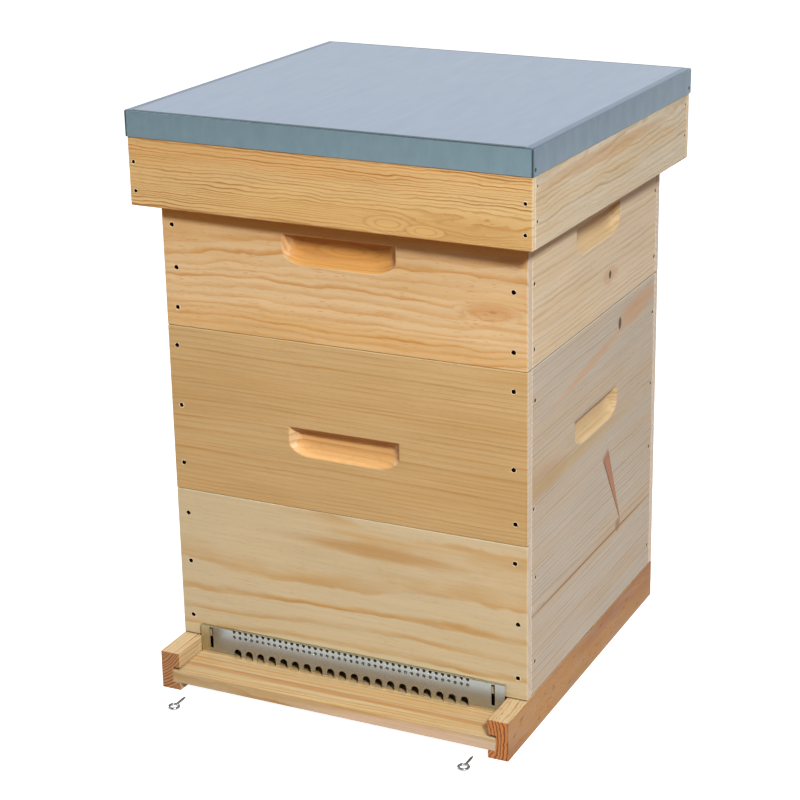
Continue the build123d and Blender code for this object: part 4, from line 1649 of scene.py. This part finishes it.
TORN_WOOD = Timber(
    "torn_pine_fibres", "#E6D3B0", "#C9A878", "#DCC093", ("#E6D3B0", "#C9A878"), Grain.UP,
    (300, MID, 0), ring_mm=4.0, contrast=0.3)
# Painted shade for the eased lower edges of the boxes' boards.
JOINT_SHADE = Timber(
    "pine_joint_painted_shade", "#5A4028", "#3C2814", "#4A3420", ("#5A4028", "#3C2814"), Grain.ACROSS,
    (0, 0, 900), contrast=0.3)
ROOF_ZINC = ZincSheet("galvanised_roof_sheet", "#95A7BD", "#8496A8", 0.32, (9.0, 60.0, 400.0), 0.06,
                      wave=0.008)
# Painted shade on the rolled side edges of the cap.
ROOF_ROLL_SHADE = ZincSheet("galvanised_roof_roll_painted_shade", "#74879D", "#697B8F", 0.34, (9.0, 60.0, 400.0), 0.2,
                      wave=0.0)
# Painted reflection: the flanges take paler, bluer copies of the same zinc.
ROOF_FLANGE = ZincSheet("galvanised_roof_flange_painted_reflection", "#B6D4E0", "#94B2BE", 0.3, (16.0, 16.0, 60.0),
                        0.4, wave=0.02)
SIDE_FLANGE = replace(ROOF_FLANGE, name="galvanised_side_flange_painted_reflection", pale="#B2C9DA", dark="#90A6B8")
# Painted shade in a strip along the cap's front and back edges; it also darkens the seams at its
# corners.
SEAM_AND_BEND_SHADE = ZincSheet("galvanised_seam_and_bend_painted_shade", "#5C6C74", "#4A5A62", 0.45, (5.0, 5.0, 300.0), 0.5,
                       wave=0.0)
# Painted highlight on the cap's bends.
BEND_SHINE = ZincSheet("galvanised_bend_painted_highlight", "#8496A0", "#73848E", 0.25, (5.0, 5.0, 300.0),
                       0.5, wave=0.0)
# The guard's sheet fades lower down to a painted reflection.
GUARD_ZINC = ZincSheet("galvanised_guard_sheet", "#999D9B", "#828482", 0.24, (60.0, 60.0, 6.0),
                       0.15, 6.0, 0.0, reflection_mm=(54.0, 31.0), reflected_tone="#ADB5BD")
# Painted reflection of bare wood on the guard's foot.
GUARD_FOOT_REFLECTION = ZincSheet("galvanised_guard_foot_painted_reflection", "#E6DAC0", "#D2C2A4", 0.3, (60.0, 60.0, 6.0), 0.3,
                       6.0, 0.0)
# Painted reflection of bare wood on the guard's left end and top bend.
GUARD_END_REFLECTION = ZincSheet("galvanised_guard_end_painted_reflection", "#C6C2AA", "#AEAA92", 0.3, (8.0, 60.0, 60.0), 0.6,
                      6.0, 0.0)
STRIP_ZINC = ZincSheet("galvanised_spacer_strip", "#C4C8CA", "#A2A8AC", 0.32, (50.0, 50.0, 3.0),
                       0.4, 5.0, 0.02)
EYE_ZINC = WireSteel("bright_zinc_wire", "#B4BAC0", "#565C62", 0.2)
FRAME_WIRE = WireSteel("stainless_frame_wire", "#C9CCCE", "#8B9094", 0.25)
CAP_NAIL = WireSteel("dull_zinc_nail", "#5A6064", "#33383C", 0.45)


def nails_on(face: Face, *spots: tuple[float, float]) -> list[NailSpot]:
    """Put nails on a face, each at a distance from its left edge and a height, in millimetres."""
    return [(face, along, up) for along, up in spots]


def nail_rows(face: Face, width: float, inset: float, *heights: float) -> list[NailSpot]:
    """Lay out a row of nails along both edges of a wall.

    Args:
        face: the side of the hive.
        width: the wall's width, in millimetres.
        inset: distance from the wall's edges.
        heights: their heights above the ground.

    Returns:
        Each nail's face, distance from the left edge and height.
    """
    return nails_on(face, *((along, up) for up in heights for along in (inset, width - inset)))


def hive_pieces() -> list[SubAssembly]:
    """List the sub-assemblies of the hive from the floor up.

    Returns:
        The sub-assemblies with their finishes and nails, not yet built.
    """
    hive = Outline(SIDE * MM, (BACK - FRONT) / 2 * MM, MID * MM)
    turn = -math.degrees(math.asin(ROOF_SKEW))
    roof, cap = (Outline((ROOF_W / 2 + out) * MM, (ROOF_D / 2 + out) * MM, MID * MM, turn)
                 for out in (0, CAP_OUT))
    return [
        FloorStand(), GuardStrip(), ScrewEye("screw_eye_left"), ScrewEye("screw_eye_right"),
        NailedBox(
            "brood_box", outline=hive, ledge_mm=321, boards={
                "brood_front_lower": BROOD_FRONT_LOWER, "brood_front_upper": BROOD_FRONT_UPPER,
                "brood_back_lower": BACK_WOOD, "brood_back_upper": BACK_WOOD,
                "brood_side_left": LEFT_SIDE, "brood_side_right": BROOD_SIDE}, holds={
                "brood_front_upper": Face.FRONT, "brood_back_upper": Face.BACK,
                "brood_side_left": Face.LEFT, "brood_side_right": Face.RIGHT},
            spacers=("brood_spacer_front", "brood_spacer_back"), nails={
                "brood_front_lower": nails_on(Face.FRONT, (415.5, 206), (419, 135.5), (419, 71.8),
                                              (13.5, 198), (13.5, 138.5), (13, 70.5)),
                "brood_front_upper": nails_on(Face.FRONT, (414, 398.5), (414, 312), (416, 251),
                                              (11, 398), (12.4, 328), (11.5, 259)),
                "brood_side_right": nails_on(Face.RIGHT, (19.7, 384.6), (17, 264.5), (22.3, 183.5),
                                             (21, 84.6), (387, 375), (385, 286), (384, 205.5),
                                             (385, 74.8)),
                "brood_side_left": nail_rows(Face.LEFT, HIVE_D, 19, 80, 180, 280, 375),
                "brood_back_lower": nail_rows(Face.BACK, HIVE_W, 12, 72, 140, 206),
                "brood_back_upper": nail_rows(Face.BACK, HIVE_W, 12, 255, 325, 398)}),
        NailedBox(
            "super_box", outline=hive, ledge_mm=539, boards={
                "super_front": SUPER_FRONT, "super_back": BACK_WOOD, "super_side_left": LEFT_SIDE,
                "super_side_right": SUPER_SIDE}, holds={
                "super_front": Face.FRONT, "super_back": Face.BACK, "super_side_left": Face.LEFT,
                "super_side_right": Face.RIGHT},
            spacers=("super_spacer_front", "super_spacer_back"), nails={
                "super_front": nails_on(Face.FRONT, (12.5, 536), (15.5, 488), (14.5, 442.5),
                                        (414, 505), (414, 441)),
                "super_side_right": nails_on(Face.RIGHT, (17, 511), (17, 441), (388, 522.5),
                                             (388, 443.3)),
                "super_side_left": nail_rows(Face.LEFT, HIVE_D, 18, 443, 515),
                "super_back": nail_rows(Face.BACK, HIVE_W, 13, 441, 490, 540)}),
        InnerCover(),
        Roof(
            outline=roof, cap_outline=cap, nail=Nails(hole_mm=4.4, head_mm=4.0), boards={
                "roof_front": ROOF_FRONT, "roof_back": ROOF_FRONT, "roof_side_left": ROOF_LEFT,
                "roof_side_right": ROOF_SIDE}, nails={
                "roof_front": nails_on(Face.FRONT, (466, 606), (466, 574), (6.5, 606), (7, 574)),
                "roof_back": nail_rows(Face.BACK, ROOF_W, 7, 574, 606),
                "roof_side_left": nail_rows(Face.LEFT, ROOF_D, 12, 586, 622),
                "roof_side_right": nail_rows(Face.RIGHT, ROOF_D, 12, 586, 622)},
            cap_nails=[spot for face in (Face.RIGHT, Face.LEFT)
                       for spot in nail_rows(face, ROOF_D + 2 * CAP_OUT, 5.5, 640)]),
    ]


def main() -> None:
    """Build the looks of the hive piece by piece, then the studio."""
    logging.basicConfig(level=logging.INFO, format="%(name)s: %(message)s")
    for kit in hive_pieces():
        kit.build()
        kit.smooth()
        for piece in kit.pieces:
            LOG.info("%s: %s", kit.body, piece.name)
    for frames in (HangingFrames("brood", 10, 4), HangingFrames("super", 9, 2)):
        frames.build()
        for piece in frames.pieces:
            LOG.info("%s frames: %s", frames.prefix, piece.name)
    Studio().build()


if __name__ == "__main__":
    main()
